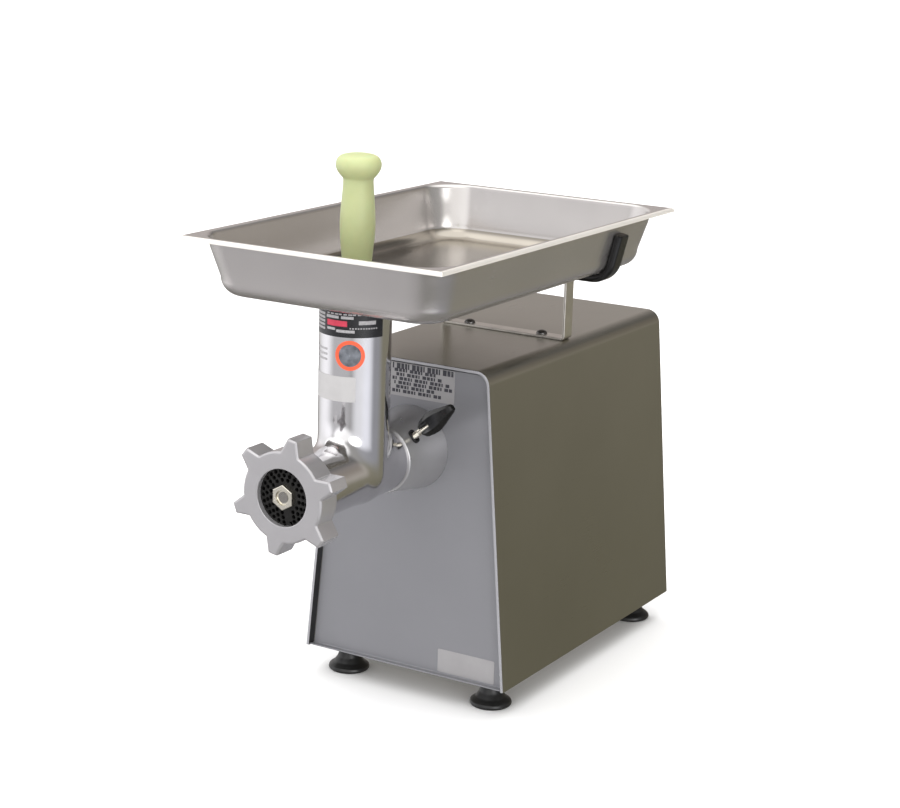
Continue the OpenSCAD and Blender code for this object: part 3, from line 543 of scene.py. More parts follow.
def make_wrap():
    bm = shape()
    path = closed_outline(0, BASE_Z)
    refined = [path[0]]
    for a, b in zip(path, path[1:]):
        parts = max(1, int(math.dist(a, b) / LONGEST_EDGE))
        refined += [tuple(Vector(a).lerp(Vector(b), (i + 1) / parts)) for i in range(parts)]
    section = cabinet_section()
    sweep(bm, refined, section)
    # the front lip's inner faces get the second material, a near-black painted shade; its rounded edge gets the
    # third, a lighter painted highlight
    bm.faces.ensure_lookup_table()
    for row in range(len(refined) - 1):
        for k in range(2, 7):
            bm.faces[row * len(section) + k].material_index = 1 if k < 4 else 2
    for y in (PANEL_Y + SHEET, BACK_PANEL_Y - FRAME_T):
        rim = closed_outline(SHEET - 0.1, BASE_Z + 26)
        gap = outline(SHEET + 14, BASE_Z + 40)
        slab(bm, [rim, gap], [(y, 0), (y + FRAME_T, 0)], along_y(0))
    wrap = publish("cabinet_wrap", bm, "cabinet", "brushed_steel", WRAP, "housing_cover")
    for finish in (LIP_PAINTED_SHADE, HEM_PAINTED_HIGHLIGHT):
        wrap.data.materials.append(finish)


def make_front_panel():
    fold_z, low, back = BASE_Z + 4, BASE_Z + 0.3, PANEL_Y + SHEET
    loops = [closed_outline(SHEET + 0.2, fold_z), round_hole(0, AXIS_Z, COLLAR_R + 0.1, ROUND)]
    bm = slab(shape(), loops, [(PANEL_Y, 0), (back, 0)], along_y(0))
    section = [(back, fold_z), (back, low), (FRONT + 1.6, low), (FRONT + 1.6, low + SHEET),
               (PANEL_Y, low + SHEET), (PANEL_Y, fold_z)]
    section = fillet(section, [0, 3.2, 0.6, 0.6, 1.7, 0])
    rows = [row_of(bm, [(side * side_x(z, SHEET + 0.2), y, z) for y, z in section]) for side in (-1, 1)]
    loft(bm, rows)
    for row in rows:
        lid(bm, [row], [section])
    publish("front_panel_sheet", bm, "cabinet", "satin_steel", FACE, "front_panel")


def slot_hole(cx, cz, half, r):
    return (arc(cx + half - r, cz, r, -90, 90, 8) + arc(cx - half + r, cz, r, 90, 270, 8))[::-1]


def make_rear_panel():
    rim = closed_outline(SHEET + 0.3, BASE_Z + 0.3)
    slots = [slot_hole(s * 36, AXIS_Z - 17.5 - i * 14, 26, 2.5) for s in (-1, 1) for i in range(8)]
    gland = (middle("cable_gland", 0), middle("cable_gland", 2))
    y0, y1 = BACK_PANEL_Y, BACK_PANEL_Y + SHEET
    levels = [(y0, 0.2), (y0 + 0.2, 0), (y1 - 0.35, 0), (y1 - 0.1, 0.1), (y1, 0.35)]
    bm = slab(shape(), [rim, *slots, round_hole(*gland, 9)], levels, along_y(0))
    publish("rear_panel_sheet", bm, "cabinet", "satin_steel", SATIN, "rear_panel")

    bm = shape()
    for s in (-1, 1):
        for h in (50, 180, 310):
            x, z = s * (side_x(BASE_Z + h, SHEET) - 8), BASE_Z + h
            screw(bm, along_y(z, x, y1), 4, 2.4, 1.6)
            lathe(bm, [(0, -6), (1.6, -6), (2, -5.5), (2, 0.3), (0, 0.3)], along_y(z, x, y1), 24)
    publish("rear_screw_heads", bm, "cabinet", "zinc_steel", STRIP, "rear_screws")

    bm = shape()
    place = along_y(gland[1], gland[0], y1)
    hexagon = circle(0, 0, 12.5, 6)
    for base, height in ((0, 3.5), (-SHEET - 5, 5)):
        loops = [fillet(hexagon, 1.2), round_hole(0, 0, 9.2)]
        slab(bm, loops, rounded_levels(base, base + height, 0.5), place)
    ring = fillet([(4.5, -13.5), (9, -13.5), (9, 3.4), (9.5, 3.4), (9.5, 6.4), (4.5, 6.4)],
                  [0.4, 0.6, 0, 0.2, 1.4, 0.8])
    lathe(bm, ring, place, 64, closed=True)
    publish("cable_gland_body", bm, "cabinet", "black_plastic", GLOSS_BLACK, "cable_gland")


def screw(bm, place, r, height, socket):
    """Button head with a hexagon socket."""
    depth, flat = height * 0.55, socket * 1.25
    head = fillet([(r, 0), (r, height * 0.45), (r * 0.72, height), (flat, height)],
                  [0, height * 0.35, height * 0.3, 0], closed=False)
    lathe(bm, [(0, 0)] + head, place, 40)
    hexagon = []
    for a in range(0, 360, 10):
        c, s = turn(a)
        d = socket * math.cos(math.radians(30)) / math.cos(math.radians(a % 60 - 30))
        hexagon.append((d * c, d * s))
    rows = [(circle(0, 0, flat, 36), height), (hexagon, height), (hexagon, height - depth),
            ([(0, 0)], height - depth * 1.15)]
    loft(bm, [level_row(bm, row, z, place) for row, z in rows])


def make_feet():
    profile = fillet([(8, 0), (22.6, 0), (24.3, 2.4), (23.4, 5.4), (17.6, 9.6), (13.6, 15.5), (11.8, 22),
                      (11, BASE_Z + 1.9), (4.1, BASE_Z + 1.9), (4.1, 11), (8, 11)],
                     [0.5, 1.2, 1.6, 2.6, 6, 8, 6, 0.8, 0.3, 0.3, 0.3])
    bm = shape()
    for x in (-FOOT_X, FOOT_X):
        for y in (FRONT + FOOT_FRONT, FRONT + FOOT_REAR):
            lathe(bm, profile, upright(x, y), closed=True)
    publish("rubber_foot_set", bm, "cabinet", "black_rubber", RUBBER, "rubber_feet")


def make_plates():
    (x0, x1), (z0, z1) = span("data_plate", 0), span("data_plate", 2)
    y = span("data_plate", 1)[0]
    bm = slab(shape(), [box_loop(x0, z0, x1, z1, 2.5)], [(y + 0.4, 0), (y + 0.15, 0), (y + 0.05, 0.15)], along_y(0))
    for x in (x0 + 3, x1 - 3):
        for z in (z0 + 3, z1 - 3):
            lathe(bm, [(0, 0), (1.1, 0), (0.9, 0.06), (0, 0.1)], along_y(z, x, y + 0.1) @ FLIP, 16)
    publish("data_plate_blank", bm, "cabinet", "blank_label", DATA, "data_plate")
    bars = shape()
    w, h = x1 - x0, z1 - z0
    for row in range(7):
        v = z0 + h * (0.9 - 0.125 * row)
        tall = 0.062 * h * (1.35 if row == 0 else 0.8)
        u = x0 + w * (0.04 + 0.03 * (row % 3))
        k = row * 5
        while u < x0 + w * (0.97 - 0.09 * (row * 3 % 4)):
            wide = w * (0.022 + 0.012 * (k * 7 % 4))
            slab(bars, [box_loop(u, v - tall, u + wide, v + tall)], [(y + 0.06, 0), (y + 0.01, 0)], along_y(0))
            u += wide + w * (0.012 + (0.03 if k * 5 % 4 == 0 else 0))
            k += 1
    publish("data_plate_bars", bars, "cabinet", "blank_label", PRINT, sharp=20)

    (x0, x1), (z0, z1) = span("name_plate", 0), span("name_plate", 2)
    bm = slab(shape(), [box_loop(x0, z0, x1, z1, 1.5)], [(y + 0.4, 0), (y + 0.2, 0), (y + 0.05, 0.2)], along_y(0))
    publish("name_plate_blank", bm, "cabinet", "blank_label", DATA, "name_plate")


# ---- Drive collar and clamp ----

def make_collar():
    back, tail = PANEL_Y + SHEET, TAIL_R + 0.1
    profile = [(tail, RIM_Y), (TUBE_R, RIM_Y), (COLLAR_R, PANEL_Y - 0.4), (COLLAR_R, back), (60, back),
               (60, back + 8), (20, back + 8), (20, TAIL_END + 8), (26, TAIL_END + 8), (26, TAIL_END + 1),
               (tail, TAIL_END + 1)]
    profile = fillet(profile, [0.5, 1.6, 1.2, 0, 1, 1, 0.5, 0, 0, 0, 0], step=15)
    bm = lathe(shape(), profile, along_y(), 160, closed=True)
    slot = box_loop(-8, -5.2, 8, 5.2, 5.1)
    hole = slab(shape(), [slot], [(TAIL_R + 5, 0), (60, 0)], along_clamp())
    bm = carve(bm, ("DIFFERENCE", hole))
    publish("collar", bm, "cabinet", "satin_steel", COLLAR, "head_collar", sharp=26)

    gap = box_loop(-5.6, -4.2, 5.6, 4.2, 4.1)[::-1]
    bm = slab(shape(), [slot, gap], rounded_levels(38.6, 42.9, 0.6), along_clamp())
    publish("clamp_slot_rubber", bm, "cabinet", "black_rubber", RUBBER, "clamp_grommet")


def make_clamp():
    place = along_clamp()
    low = TAIL_R + 2.25
    rod = [(0, low), (3.4, low), (4, low + 0.6)]
    z = low + 2
    while z < low + 16:
        rod += [(4, z), (3.55, z + 0.55), (4, z + 1.1)]
        z += THREAD_PITCH
    rod += [(4, low + 17), (4, low + 33.4), (3.4, low + 34), (0, low + 34)]
    publish("clamp_rod", lathe(shape(), rod, place, 40), "clamp", "satin_steel", BUSH, "clamp_screw", sharp=40)

    bm = shape()
    rows = []
    # height above the worm's axis, half of the width, share of the full thickness
    stations = [(54, 5.2, 0.62), (54.7, 6.6, 0.86), (56.5, 8.6, 0.97), (59, 10, 1), (66, 11.6, 1),
                (73, 12.2, 1), (79, 11.5, 0.99), (84, 10.2, 0.94), (90, 8.4, 0.86), (97, 6.4, 0.74),
                (102, 5, 0.63), (103.5, 4.2, 0.54), (104, 3.4, 0.42)]
    for z, w, share in stations:
        t = KNOB_HALF_T * share
        ring = [(w, -t * 0.22), (w, t * 0.22), (w * 0.56, t), (-w * 0.56, t), (-w, t * 0.22),
                (-w, -t * 0.22), (-w * 0.56, -t), (w * 0.56, -t)]
        ring = fillet(ring, min(0.5, w * 0.1), step=45)
        rows.append(level_row(bm, ring, z, place))
        if z in (stations[0][0], stations[-1][0]):
            lid(bm, [rows[-1]], [ring])
    loft(bm, rows)
    pocket = [(-4.3, 50), (4.3, 50)] + arc(0, 67, 4.3, 0, 180, 12)
    tools = [slab(shape(), [pocket], [(y0, 0), (y1, 0)], place @ SWAP_YZ) for y0, y1 in ((-9, -3.6), (3.6, 9))]
    end = TAIL_R + 36.3
    tools.append(lathe(shape(), [(0, 50), (4.02, 50), (4.02, end), (0, end)], place, 40))
    bm = carve(bm, *[("DIFFERENCE", tool) for tool in tools])
    publish("clamp_lever_knob", bm, "clamp", "black_plastic", GLOSS_BLACK, "clamp_knob", sharp=16)


# ---- Grinding head ----

def soft_min(a, b, k):
    """The smaller of a and b, eased over k where they are close; numbers or arrays."""
    h = np.maximum(k - np.abs(a - b), 0) / k
    return np.minimum(a, b) - h * h * k / 4


def head_distance(p):
    """Distance to the casting's outside: feed tube and barrel, joined by a cast fillet."""
    up = np.stack([p[:, 0], p[:, 1] - TUBE_Y, np.minimum(p[:, 2] - AXIS_Z, 0)], 1)
    level = np.stack([p[:, 0], np.zeros(len(p)), p[:, 2] - AXIS_Z], 1)
    long_up = np.linalg.norm(up, axis=1)
    long_level = np.linalg.norm(level, axis=1)
    a, b = long_up - TUBE_R, long_level - BARREL_R
    facing = (up * level).sum(1) / np.maximum(long_up * long_level, 1e-6)
    return soft_min(a, b, 2 + 24 * np.clip(1 - facing, 0, 1))


def settle(points, step=0.02):
    """Moves points near the casting's surface onto it."""
    p = points.copy()
    for _ in range(7):
        f = head_distance(p)
        grad = np.stack([(head_distance(p + d) - head_distance(p - d)) / (2 * step)
                         for d in np.eye(3) * step], 1)
        move = (f / np.maximum((grad * grad).sum(1), 0.05))[:, None] * grad
        move[np.abs(f) > 6] = 0
        p -= move
    return p


def cut_open(bm, point, normal):
    """Cuts everything on the normal's side away and closes the cut flat."""
    geom = bm.verts[:] + bm.edges[:] + bm.faces[:]
    bmesh.ops.bisect_plane(bm, geom=geom, plane_co=point, plane_no=normal, clear_outer=True, dist=1e-5)
    edges = [e for e in bm.edges if e.is_boundary]
    bmesh.ops.triangle_fill(bm, use_beauty=True, use_dissolve=False, edges=edges)


def make_head():
    top = PAN_Z - 0.3
    bm = shape()
    bottom = arc(0, AXIS_Z, TUBE_R + 0.6, -90, 0, 14)
    lathe(bm, [(max(0, x), z) for x, z in bottom] + [(TUBE_R + 0.6, top + 14), (0, top + 14)],
          upright(0, TUBE_Y), 72)
    lathe(bm, [(0, RING_BACK - 20), (BARREL_R + 0.6, RING_BACK - 20), (BARREL_R + 0.6, RIM_Y + 14),
               (0, RIM_Y + 14)], along_y(), 72)
    lump = temporary(bm, "casting")
    remesh = lump.modifiers.new("remesh", "REMESH")
    remesh.mode = "VOXEL"
    remesh.voxel_size = 1.5
    bm = evaluated(lump)
    for v, p in zip(bm.verts, settle(np.array([v.co for v in bm.verts], float))):
        v.co = p
    cut_open(bm, (0, 0, top), (0, 0, 1))
    cut_open(bm, (0, RIM_Y, 0), (0, 1, 0))
    cut_open(bm, (0, RING_BACK + 6.5, 0), (0, -1, 0))

    face, back = PLATE_FACE + 2, RING_BACK
    nose = fillet([(0, face), (41, face), (41, back + 1), (44, back + 1), (44, back + 7), (BARREL_R + 0.4, back + 11),
                   (BARREL_R - 6, back + 12), (0, back + 12)], [0, 1.2, 0, 0.8, 2, 2, 0, 0], closed=False)
    tail = fillet([(0, RIM_Y - 12), (TAIL_R, RIM_Y - 12), (TAIL_R, TAIL_END), (0, TAIL_END)],
                  [0, 0, 1, 0], closed=False)
    seat = [(0, PLATE_FACE - 5), (35.3, PLATE_FACE - 5), (35.3, KNIFE_BACK), (BORE_R, KNIFE_BACK),
            (BORE_R, BORE_END), (18, BORE_END), (18, TAIL_END + 5), (0, TAIL_END + 5)]
    throat = [(0, AXIS_Z), (THROAT_R, AXIS_Z), (THROAT_R, PAN_Z - 12.5), (30, PAN_Z - 11), (30, PAN_Z + 5),
              (0, PAN_Z + 5)]
    key = slab(shape(), [box_loop(-3.6, -37.1, 3.6, -26.9)], [(PLATE_FACE + 1, 0), (PLATE_FACE + 6.6, 0)],
               along_y() @ Matrix.Rotation(math.radians(KEY_ANGLE + 90), 4, "Z"))
    bm = carve(bm, ("UNION", lathe(shape(), nose, along_y(), 120)),
               ("UNION", lathe(shape(), tail, along_y())),
               ("DIFFERENCE", lathe(shape(), seat, along_y(), 120)),
               ("DIFFERENCE", lathe(shape(), throat, upright(0, TUBE_Y))),
               ("DIFFERENCE", key))
    publish("grinding_head_casting", bm, "head", "polished_steel", POLISHED, "grinding_head", sharp=30,
            weighted=False)


def wrapped(bm, rows, r0, r1, closed=False):
    """Maps flat strips (u along the arc, z) on to the feed tube as a thin closed skin."""
    skins = []
    for r in (r0, r1):
        grid = []
        for row in rows:
            turns = [(*turn(math.degrees(u / TUBE_R)), z) for u, z in row]
            grid.append(row_of(bm, [(r * c, TUBE_Y + r * s, z) for c, s, z in turns]))
        skins.append(grid)
        loft(bm, grid, closed=False)
    inner, outer = skins
    for k in (0, -1):
        skin(bm, inner[k], outer[k], closed=False)
    for k in () if closed else (0, -1):
        skin(bm, [g[k] for g in inner], [g[k] for g in outer], closed=False)


def patch_grid(a0, a1, z0, z1):
    """Rows for wrapped() from degree a0 to a1, between two heights above the cabinet's foot."""
    u0, u1 = (math.radians(a) * TUBE_R for a in (a0, a1))
    n = max(2, int(abs(u1 - u0) / 1.8))
    return [[(u0 + (u1 - u0) * i / n, z) for i in range(n + 1)] for z in (BASE_Z + z0, BASE_Z + z1)]


def make_labels():
    paper = (TUBE_R + 0.08, TUBE_R + 0.28)
    ink = (TUBE_R + 0.26, TUBE_R + 0.36)
    # each block is (first degree, last degree, lowest z, highest z)
    bars = [(-146, -112, 420.5 + row * 3.9, 423 + row * 3.9) for row in range(5)]
    bars += [(-108, -84, 434.5, 437.5), (-80, -60, 434.5, 437.5), (-88, -58, 420, 423), (-52, -24, 429, 433)]
    for k in range(11):
        bars += [(-106 + k * 7.5, -101.5 + k * 7.5 + k % 3, 438.6, 440),
                 (-66 + k * 4.2, -63.5 + k * 4.2, 424.2, 425.6)]
    bars.append((-106, -90, 422, 424.6))
    low_bars = [(-147, -106, z, z + 2.2) for z in (388, 393.5, 399)]
    for name, blocks, radii, finish, *nodes in (
            ("tube_band_blank", [(-150, -10, 415, 442)], paper, LABEL_BLACK, "tube_labels"),
            ("tube_band_bars", bars, ink, LABEL_GREY),
            ("tube_band_red", [(-106, -70, 426.5, 432.5)], ink, LABEL_RED),
            ("tube_label_blank", [(-147, -55, 346, 373)], paper, LABEL),
            ("tube_bars", low_bars, (TUBE_R + 0.08, TUBE_R + 0.2), LABEL_GREY)):
        bm = shape()
        for block in blocks:
            wrapped(bm, patch_grid(*block), *radii)
        publish(name, bm, "head", "blank_label", finish, *nodes, sharp=60, weighted=False)

    centre = math.radians(-65) * TUBE_R
    for name, r0, r1, finish, lift in (("tube_disc_blank", 0, 12.2, DISC, 0),
                                       ("tube_disc_ring", 12, 16, LABEL_ORANGE, 0.05)):
        bm = shape()
        rings = []
        for k in range(5):
            ring = circle(0, 0, max(0.4, r0 + (r1 - r0) * k / 4), 64)
            rings.append([(centre + x, BASE_Z + 396 + y) for x, y in ring + ring[:1]])
        wrapped(bm, rings, paper[0], paper[1] + lift, closed=True)
        publish(name, bm, "head", "blank_label", finish, sharp=60, weighted=False)


# ---- Ring nut, plate and knife ----

RING_ROOT, RING_TIP, RING_OPEN = 49, 64, 30.5
RING_LOBES, RING_PHASE = 6, 19.6
LOBE_FOOT, LOBE_ROOT_HALF, LOBE_TIP_HALF = 46, 11.9, 5.6


def ring_radius(angle):
    """Radius of the nut's outline: a round root with tapering lobes, corners eased."""
    gap = 360 / RING_LOBES
    c, s = turn(abs((angle - RING_PHASE + gap / 2) % gap - gap / 2))
    slope = (LOBE_ROOT_HALF - LOBE_TIP_HALF) / (RING_TIP - LOBE_FOOT)
    flank = (LOBE_ROOT_HALF + slope * LOBE_FOOT) / (s + slope * c)
    lobe = soft_min(RING_TIP / c, flank, 0.8)
    return -soft_min(-lobe, -RING_ROOT, 1)


def make_ring():
    steps, sides = 900, 144
    angles = [360 * i / steps for i in range(steps)]
    outer = [tuple(min(RING_TIP, ring_radius(a)) * k for k in turn(a)) for a in angles]
    bm = shape()
    levels = [(RING_FACE, 2.4), (RING_FACE + 0.2, 1.9), (RING_FACE + 1.6, 0.25), (RING_FACE + 2.3, 0),
              (RING_BACK - 1.2, 0), (RING_BACK - 0.5, 0.2), (RING_BACK, 0.8)]
    rows = [row_of(bm, [(x, y, AXIS_Z + z) for x, z in inset(outer, d)]) for y, d in levels]
    loft(bm, rows)
    inner = [(RING_OPEN + 0.9, RING_FACE), (RING_OPEN + 0.25, RING_FACE + 0.3), (RING_OPEN, RING_FACE + 1),
             (RING_OPEN, PLATE_FACE - 0.15), (41.3, PLATE_FACE - 0.15), (41.3, RING_BACK - 1), (42.3, RING_BACK)]
    tubes = [row_of(bm, [(x, y, AXIS_Z + z) for x, z in circle(0, 0, r, sides)]) for r, y in inner]
    loft(bm, tubes)
    for k in (0, -1):
        lid(bm, [rows[k], tubes[k]], [inset(outer, levels[k][1]), circle(0, 0, inner[k][0], sides)])
    publish("ring_nut_lobed", bm, "ring_nut", "satin_steel", NUT, "ring_nut", sharp=24)


PLATE_R, HOLE_R = 35, 2.2
NOTCH_IN, NOTCH_HALF = 26.6, 3.9
HOLE_RINGS = ((17.8, 16), (22.6, 21), (27.4, 26))


def make_plate():
    place = along_y()
    gap = math.degrees(math.asin(NOTCH_HALF / PLATE_R))
    loop = arc(0, 0, PLATE_R, 180 + gap, 540 - gap, 140) + [(-NOTCH_IN, NOTCH_HALF), (-NOTCH_IN, -NOTCH_HALF)]
    c, s = turn(KEY_ANGLE - 180)
    loops = [[(x * c - y * s, x * s + y * c) for x, y in loop], round_hole(0, 0, 8.5)]
    for r, n in HOLE_RINGS:
        for i in range(1, n):
            c, s = turn(KEY_ANGLE + 360 * i / n)
            loops.append(round_hole(r * c, r * s, HOLE_R, 20))
    front, back = PLATE_FACE, PLATE_BACK
    bm = slab(shape(), loops, [(front, 0.25), (front + 0.25, 0), (back - 0.3, 0), (back, 0.3)], place)
    publish("hole_plate_disc", bm, "plate", "blued_steel", BLUED, "hole_plate", sharp=28)

    def turned(points):
        return lathe(shape(), points, place, 64)

    hexagon = fillet(circle(0, 0, 13.8, 6, 90), 0.7)
    front = PLATE_FACE - 5
    bm = slab(shape(), [hexagon], [(PLATE_FACE, 0), (front + 0.9, 0), (front + 0.35, 0.25), (front, 0.9)], place)
    stem = turned([(0, PLATE_FACE - 1), (8.5, PLATE_FACE - 1), (8.5, back - 0.1), (0, back - 0.1)])
    cup = turned(fillet([(0, front - 2), (8.6, front - 2), (8, front + 0.6), (7.6, front + 2.5), (0, front + 2.5)],
                        [0, 0, 0.2, 0.5, 0], closed=False))
    bore = turned([(0, front - 2), (5.95, front - 2), (5.95, back + 2), (0, back + 2)])
    bm = carve(bm, ("UNION", stem), ("DIFFERENCE", cup), ("DIFFERENCE", bore))
    publish("plate_bush_hex", bm, "plate", "bronze", BUSH, "plate_bush", sharp=28)


# ---- Feed pan ----

def pan_loop(half_x, half_y, r, steps=14, parts=6):
    """Rounded rectangle round the pan's middle, the same number of points whatever its size."""
    out = []
    for cx, cy, a in ((half_x - r, half_y - r, 0), (r - half_x, half_y - r, 90),
                      (r - half_x, r - half_y, 180), (half_x - r, r - half_y, 270)):
        out += arc(cx, cy, r, a, a + 90, steps)
    full = []
    for i, p in enumerate(out):
        full.append(p)
        q = out[(i + 1) % len(out)]
        if math.dist(p, q) > LONGEST_EDGE:
            full += [tuple(Vector(p).lerp(Vector(q), k / parts)) for k in range(1, parts)]
    return [(x, PAN_Y + y) for x, y in full]


def bottom_row(d, i):
    """Step i of 8 round the bottom curve, d inside: (half_x, half_y, corner radius, z)."""
    c, s = turn(90 * i / 8)
    r = PAN_R - d
    half_x, half_y, corner = (size - d - r * (1 - s) for size in (WALL_LOW, END_LOW, PAN_CORNER))
    return half_x, half_y, corner, PAN_Z + d + r * (1 - c)


def wall_row(d, share):
    """The same at a share of the wall's height above the bottom curve."""
    low = PAN_Z + PAN_R
    return (WALL_LOW + (WALL_HIGH - WALL_LOW) * share - d, END_LOW + (END_HIGH - END_LOW) * share - d,
            PAN_CORNER + 5 * share - d, low + (RIM_Z - 4 - low) * share)


def pan_stations():
    """Rows from the floor's edge outside, over the rolled rim and down inside."""
    def rows(x, y, steps):
        return [(x - d, y - d, r, RIM_Z - z) for d, r, z in steps]

    under = [(4.6, 1.3), (2.6, 2.2), (1.5, 4.2), (0.9, 4.5), (0, 4.3)]
    curl = [(0, 3.7)] + [(4.6 * (1 - turn(a)[0]), 3.7 * (1 - turn(a)[1])) for a in range(15, 91, 15)]
    rim = [(d, max(RIM_CORNER - 0.4 * d, 0.8), z) for d, z in under + curl] + [(6.2, 1, 0.35)]
    out = [bottom_row(0, i) for i in range(9)] + [wall_row(0, k / 4) for k in (1, 2, 3)]
    out += rows(WALL_HIGH, END_HIGH, [(0.6, 44.4, 4.2), (-0.2, 43, 2.4), (-1.6, 40, 1.5)])
    out += rows(PAN_HALF_X, PAN_HALF_Y, rim)
    out += rows(WALL_HIGH, END_HIGH, [(-1.4, 38.8, 0.2), (0.2, 41.4, 0.75), (1.5, 43.2, 2.2), (2.2, 43.6, 4.6)])
    out += [wall_row(PAN_SHEET, k / 4) for k in (3, 2, 1)] + [bottom_row(PAN_SHEET, i) for i in range(8, -1, -1)]
    return out


def make_pan():
    bm = shape()
    stations = pan_stations()
    flats = [pan_loop(*station[:3]) for station in stations]
    rows = [level_row(bm, flat, station[3]) for flat, station in zip(flats, stations)]
    loft(bm, rows)
    spout = [(29.5, PAN_Z), (29.5, PAN_Z - 9.6), (28.9, PAN_Z - 10), (28.1, PAN_Z - 10), (27.5, PAN_Z - 9.4),
             (27.5, PAN_Z - 2.2), (28, PAN_Z - 0.4), (29.3, PAN_Z + 0.8), (31.2, PAN_Z + 1.2)]
    rounds = [circle(0, TUBE_Y, r, 72) for r, _ in spout]
    rings = [level_row(bm, flat, z) for flat, (_, z) in zip(rounds, spout)]
    loft(bm, rings)
    for k in (0, -1):
        lid(bm, [rows[k], rings[k]], [flats[k], rounds[k]])

    # the floor inside and the lower part of its inner curve get the second material, a darker painted shade; the
    # rolled edge gets the third, a lighter painted highlight
    bmesh.ops.recalc_face_normals(bm, faces=bm.faces)
    bm.normal_update()
    band = 4.7
    for face in bm.faces:
        spots = [v.co for v in face.verts]
        if face.normal.z > 0.2 and all(p.z < PAN_Z + 13 for p in spots):
            face.material_index = 1
        elif all(p.z > RIM_Z - 4.6 and (abs(p.x) > PAN_HALF_X - band or abs(p.y - PAN_Y) > PAN_HALF_Y - band)
                 for p in spots):
            face.material_index = 2
    pan = publish("feed_pan_drawn", bm, "pan", "brushed_steel", PANSTEEL, "feed_pan", sharp=42)
    for finish in (PAN_FLOOR_PAINTED_SHADE, RIM_PAINTED_HIGHLIGHT):
        pan.data.materials.append(finish)


# ---- Pan bracket ----

def hook_path(side):
    """Middle line of the strip in XZ, from the bracket's centre to one hook's end, and its last bend."""
    mid = PAN_R + 2 + STRIP_T / 2
    cx, cz = WALL_LOW - PAN_R, PAN_Z + PAN_R
    lean = -math.degrees(math.atan2(WALL_HIGH - WALL_LOW, RIM_Z - 1 - PAN_Z - PAN_R))
    x_post = side * BRACKET_X + POST_HALF - STRIP_T / 2
    start = [(side * BRACKET_X, TOP_Z + STRIP_T / 2), (x_post, TOP_Z + STRIP_T / 2), (x_post, cz - mid)]
    end = arc(cx, cz, mid, -90, lean, 14)
    c, s = turn(lean)
    end.append((end[-1][0] - s * HOOK_RISE, end[-1][1] + c * HOOK_RISE))
    bent = fillet(start + end[:1], [0, 4, 4, 0], closed=False, step=12)
    return bent + end[1:], end


def mirrored(path, side):
    return [(side * x, z) for x, z in path]


def on_bracket(section):
    return [(d, BRACKET_Y + y) for d, y in section]


def make_bracket():
    right, left = hook_path(1)[0], hook_path(-1)[0]
    path = mirrored(left, -1)[::-1] + right[1:]
    clean = [path[0]]
    for p in path[1:]:
        if math.dist(p, clean[-1]) > 0.05:
            clean.append(p)
    half_t, half_w = STRIP_T / 2, STRIP_W / 2
    bm = sweep(shape(), clean, on_bracket(box_loop(-half_t, -half_w, half_t, half_w, 0.7, 30)))
    publish("pan_bracket_strip", bm, "cabinet", "zinc_steel", STRIP, "pan_bracket")

    bm = shape()
    void = box_loop(-1.55, -9.55, 1.55, 9.55)
    for side in (-1, 1):
        end = hook_path(side)[1]
        route = [(side * BRACKET_X + POST_HALF + 5, end[0][1])] + end
        c, s = route[-1][0] - route[-2][0], route[-1][1] - route[-2][1]
        size = math.hypot(c, s)
        route[-1] = (route[-1][0] + c / size * 2, route[-1][1] + s / size * 2)
        route = mirrored(route, side)
        body = [(d * side, y) for d, y in box_loop(-6.2, -11.5, 3.1, 11.5, [4.4, 3, 3, 4.4], 18)]
        rows = strip_points(route, on_bracket(body))
        lines = [row_of(bm, row) for row in rows]
        loft(bm, lines)
        tip_dir = Vector((side * c / size, 0, s / size))
        centre = sum(rows[-1], Vector()) / len(rows[-1])
        inner = row_of(bm, [v.lerp(centre, 0.35) + tip_dir * 1.2 for v in rows[-1]])
        skin(bm, lines[-1], inner)
        bm.faces.new(inner)
        cavity = [row_of(bm, row) for row in strip_points(route, on_bracket(void))]
        loft(bm, cavity)
        bm.faces.new(cavity[-1])
        lid(bm, [lines[0], cavity[0]], [body, void])
    publish("pan_hook_sleeves", bm, "cabinet", "black_rubber", GLOSS_BLACK, "pan_sleeves", sharp=40)

    bm = shape()
    for side in (-1, 1):
        place = upright(BRACKET_X + side * 48.8, BRACKET_Y, TOP_Z + STRIP_T)
        dome = [(6.4 * turn(a)[0], 0.7 + 3.8 * turn(a)[1]) for a in range(10, 90, 10)]
        lathe(bm, [(0, 0), (6.5, 0), (6.5, 0.7)] + dome + [(0, 4.5)], place, 48)
        lathe(bm, [(0, -13), (2.2, -13), (2.5, -12.6), (2.5, 0.2), (0, 0.2)], place, 24)
        nut = [fillet(circle(0, 0, 5, 6), 0.4)]
        slab(bm, nut, rounded_levels(-STRIP_T - SHEET - 5, -STRIP_T - SHEET, 0.4), place)
    publish("bracket_dome_screws", bm, "cabinet", "dark_screws", DARK, "bracket_screws")


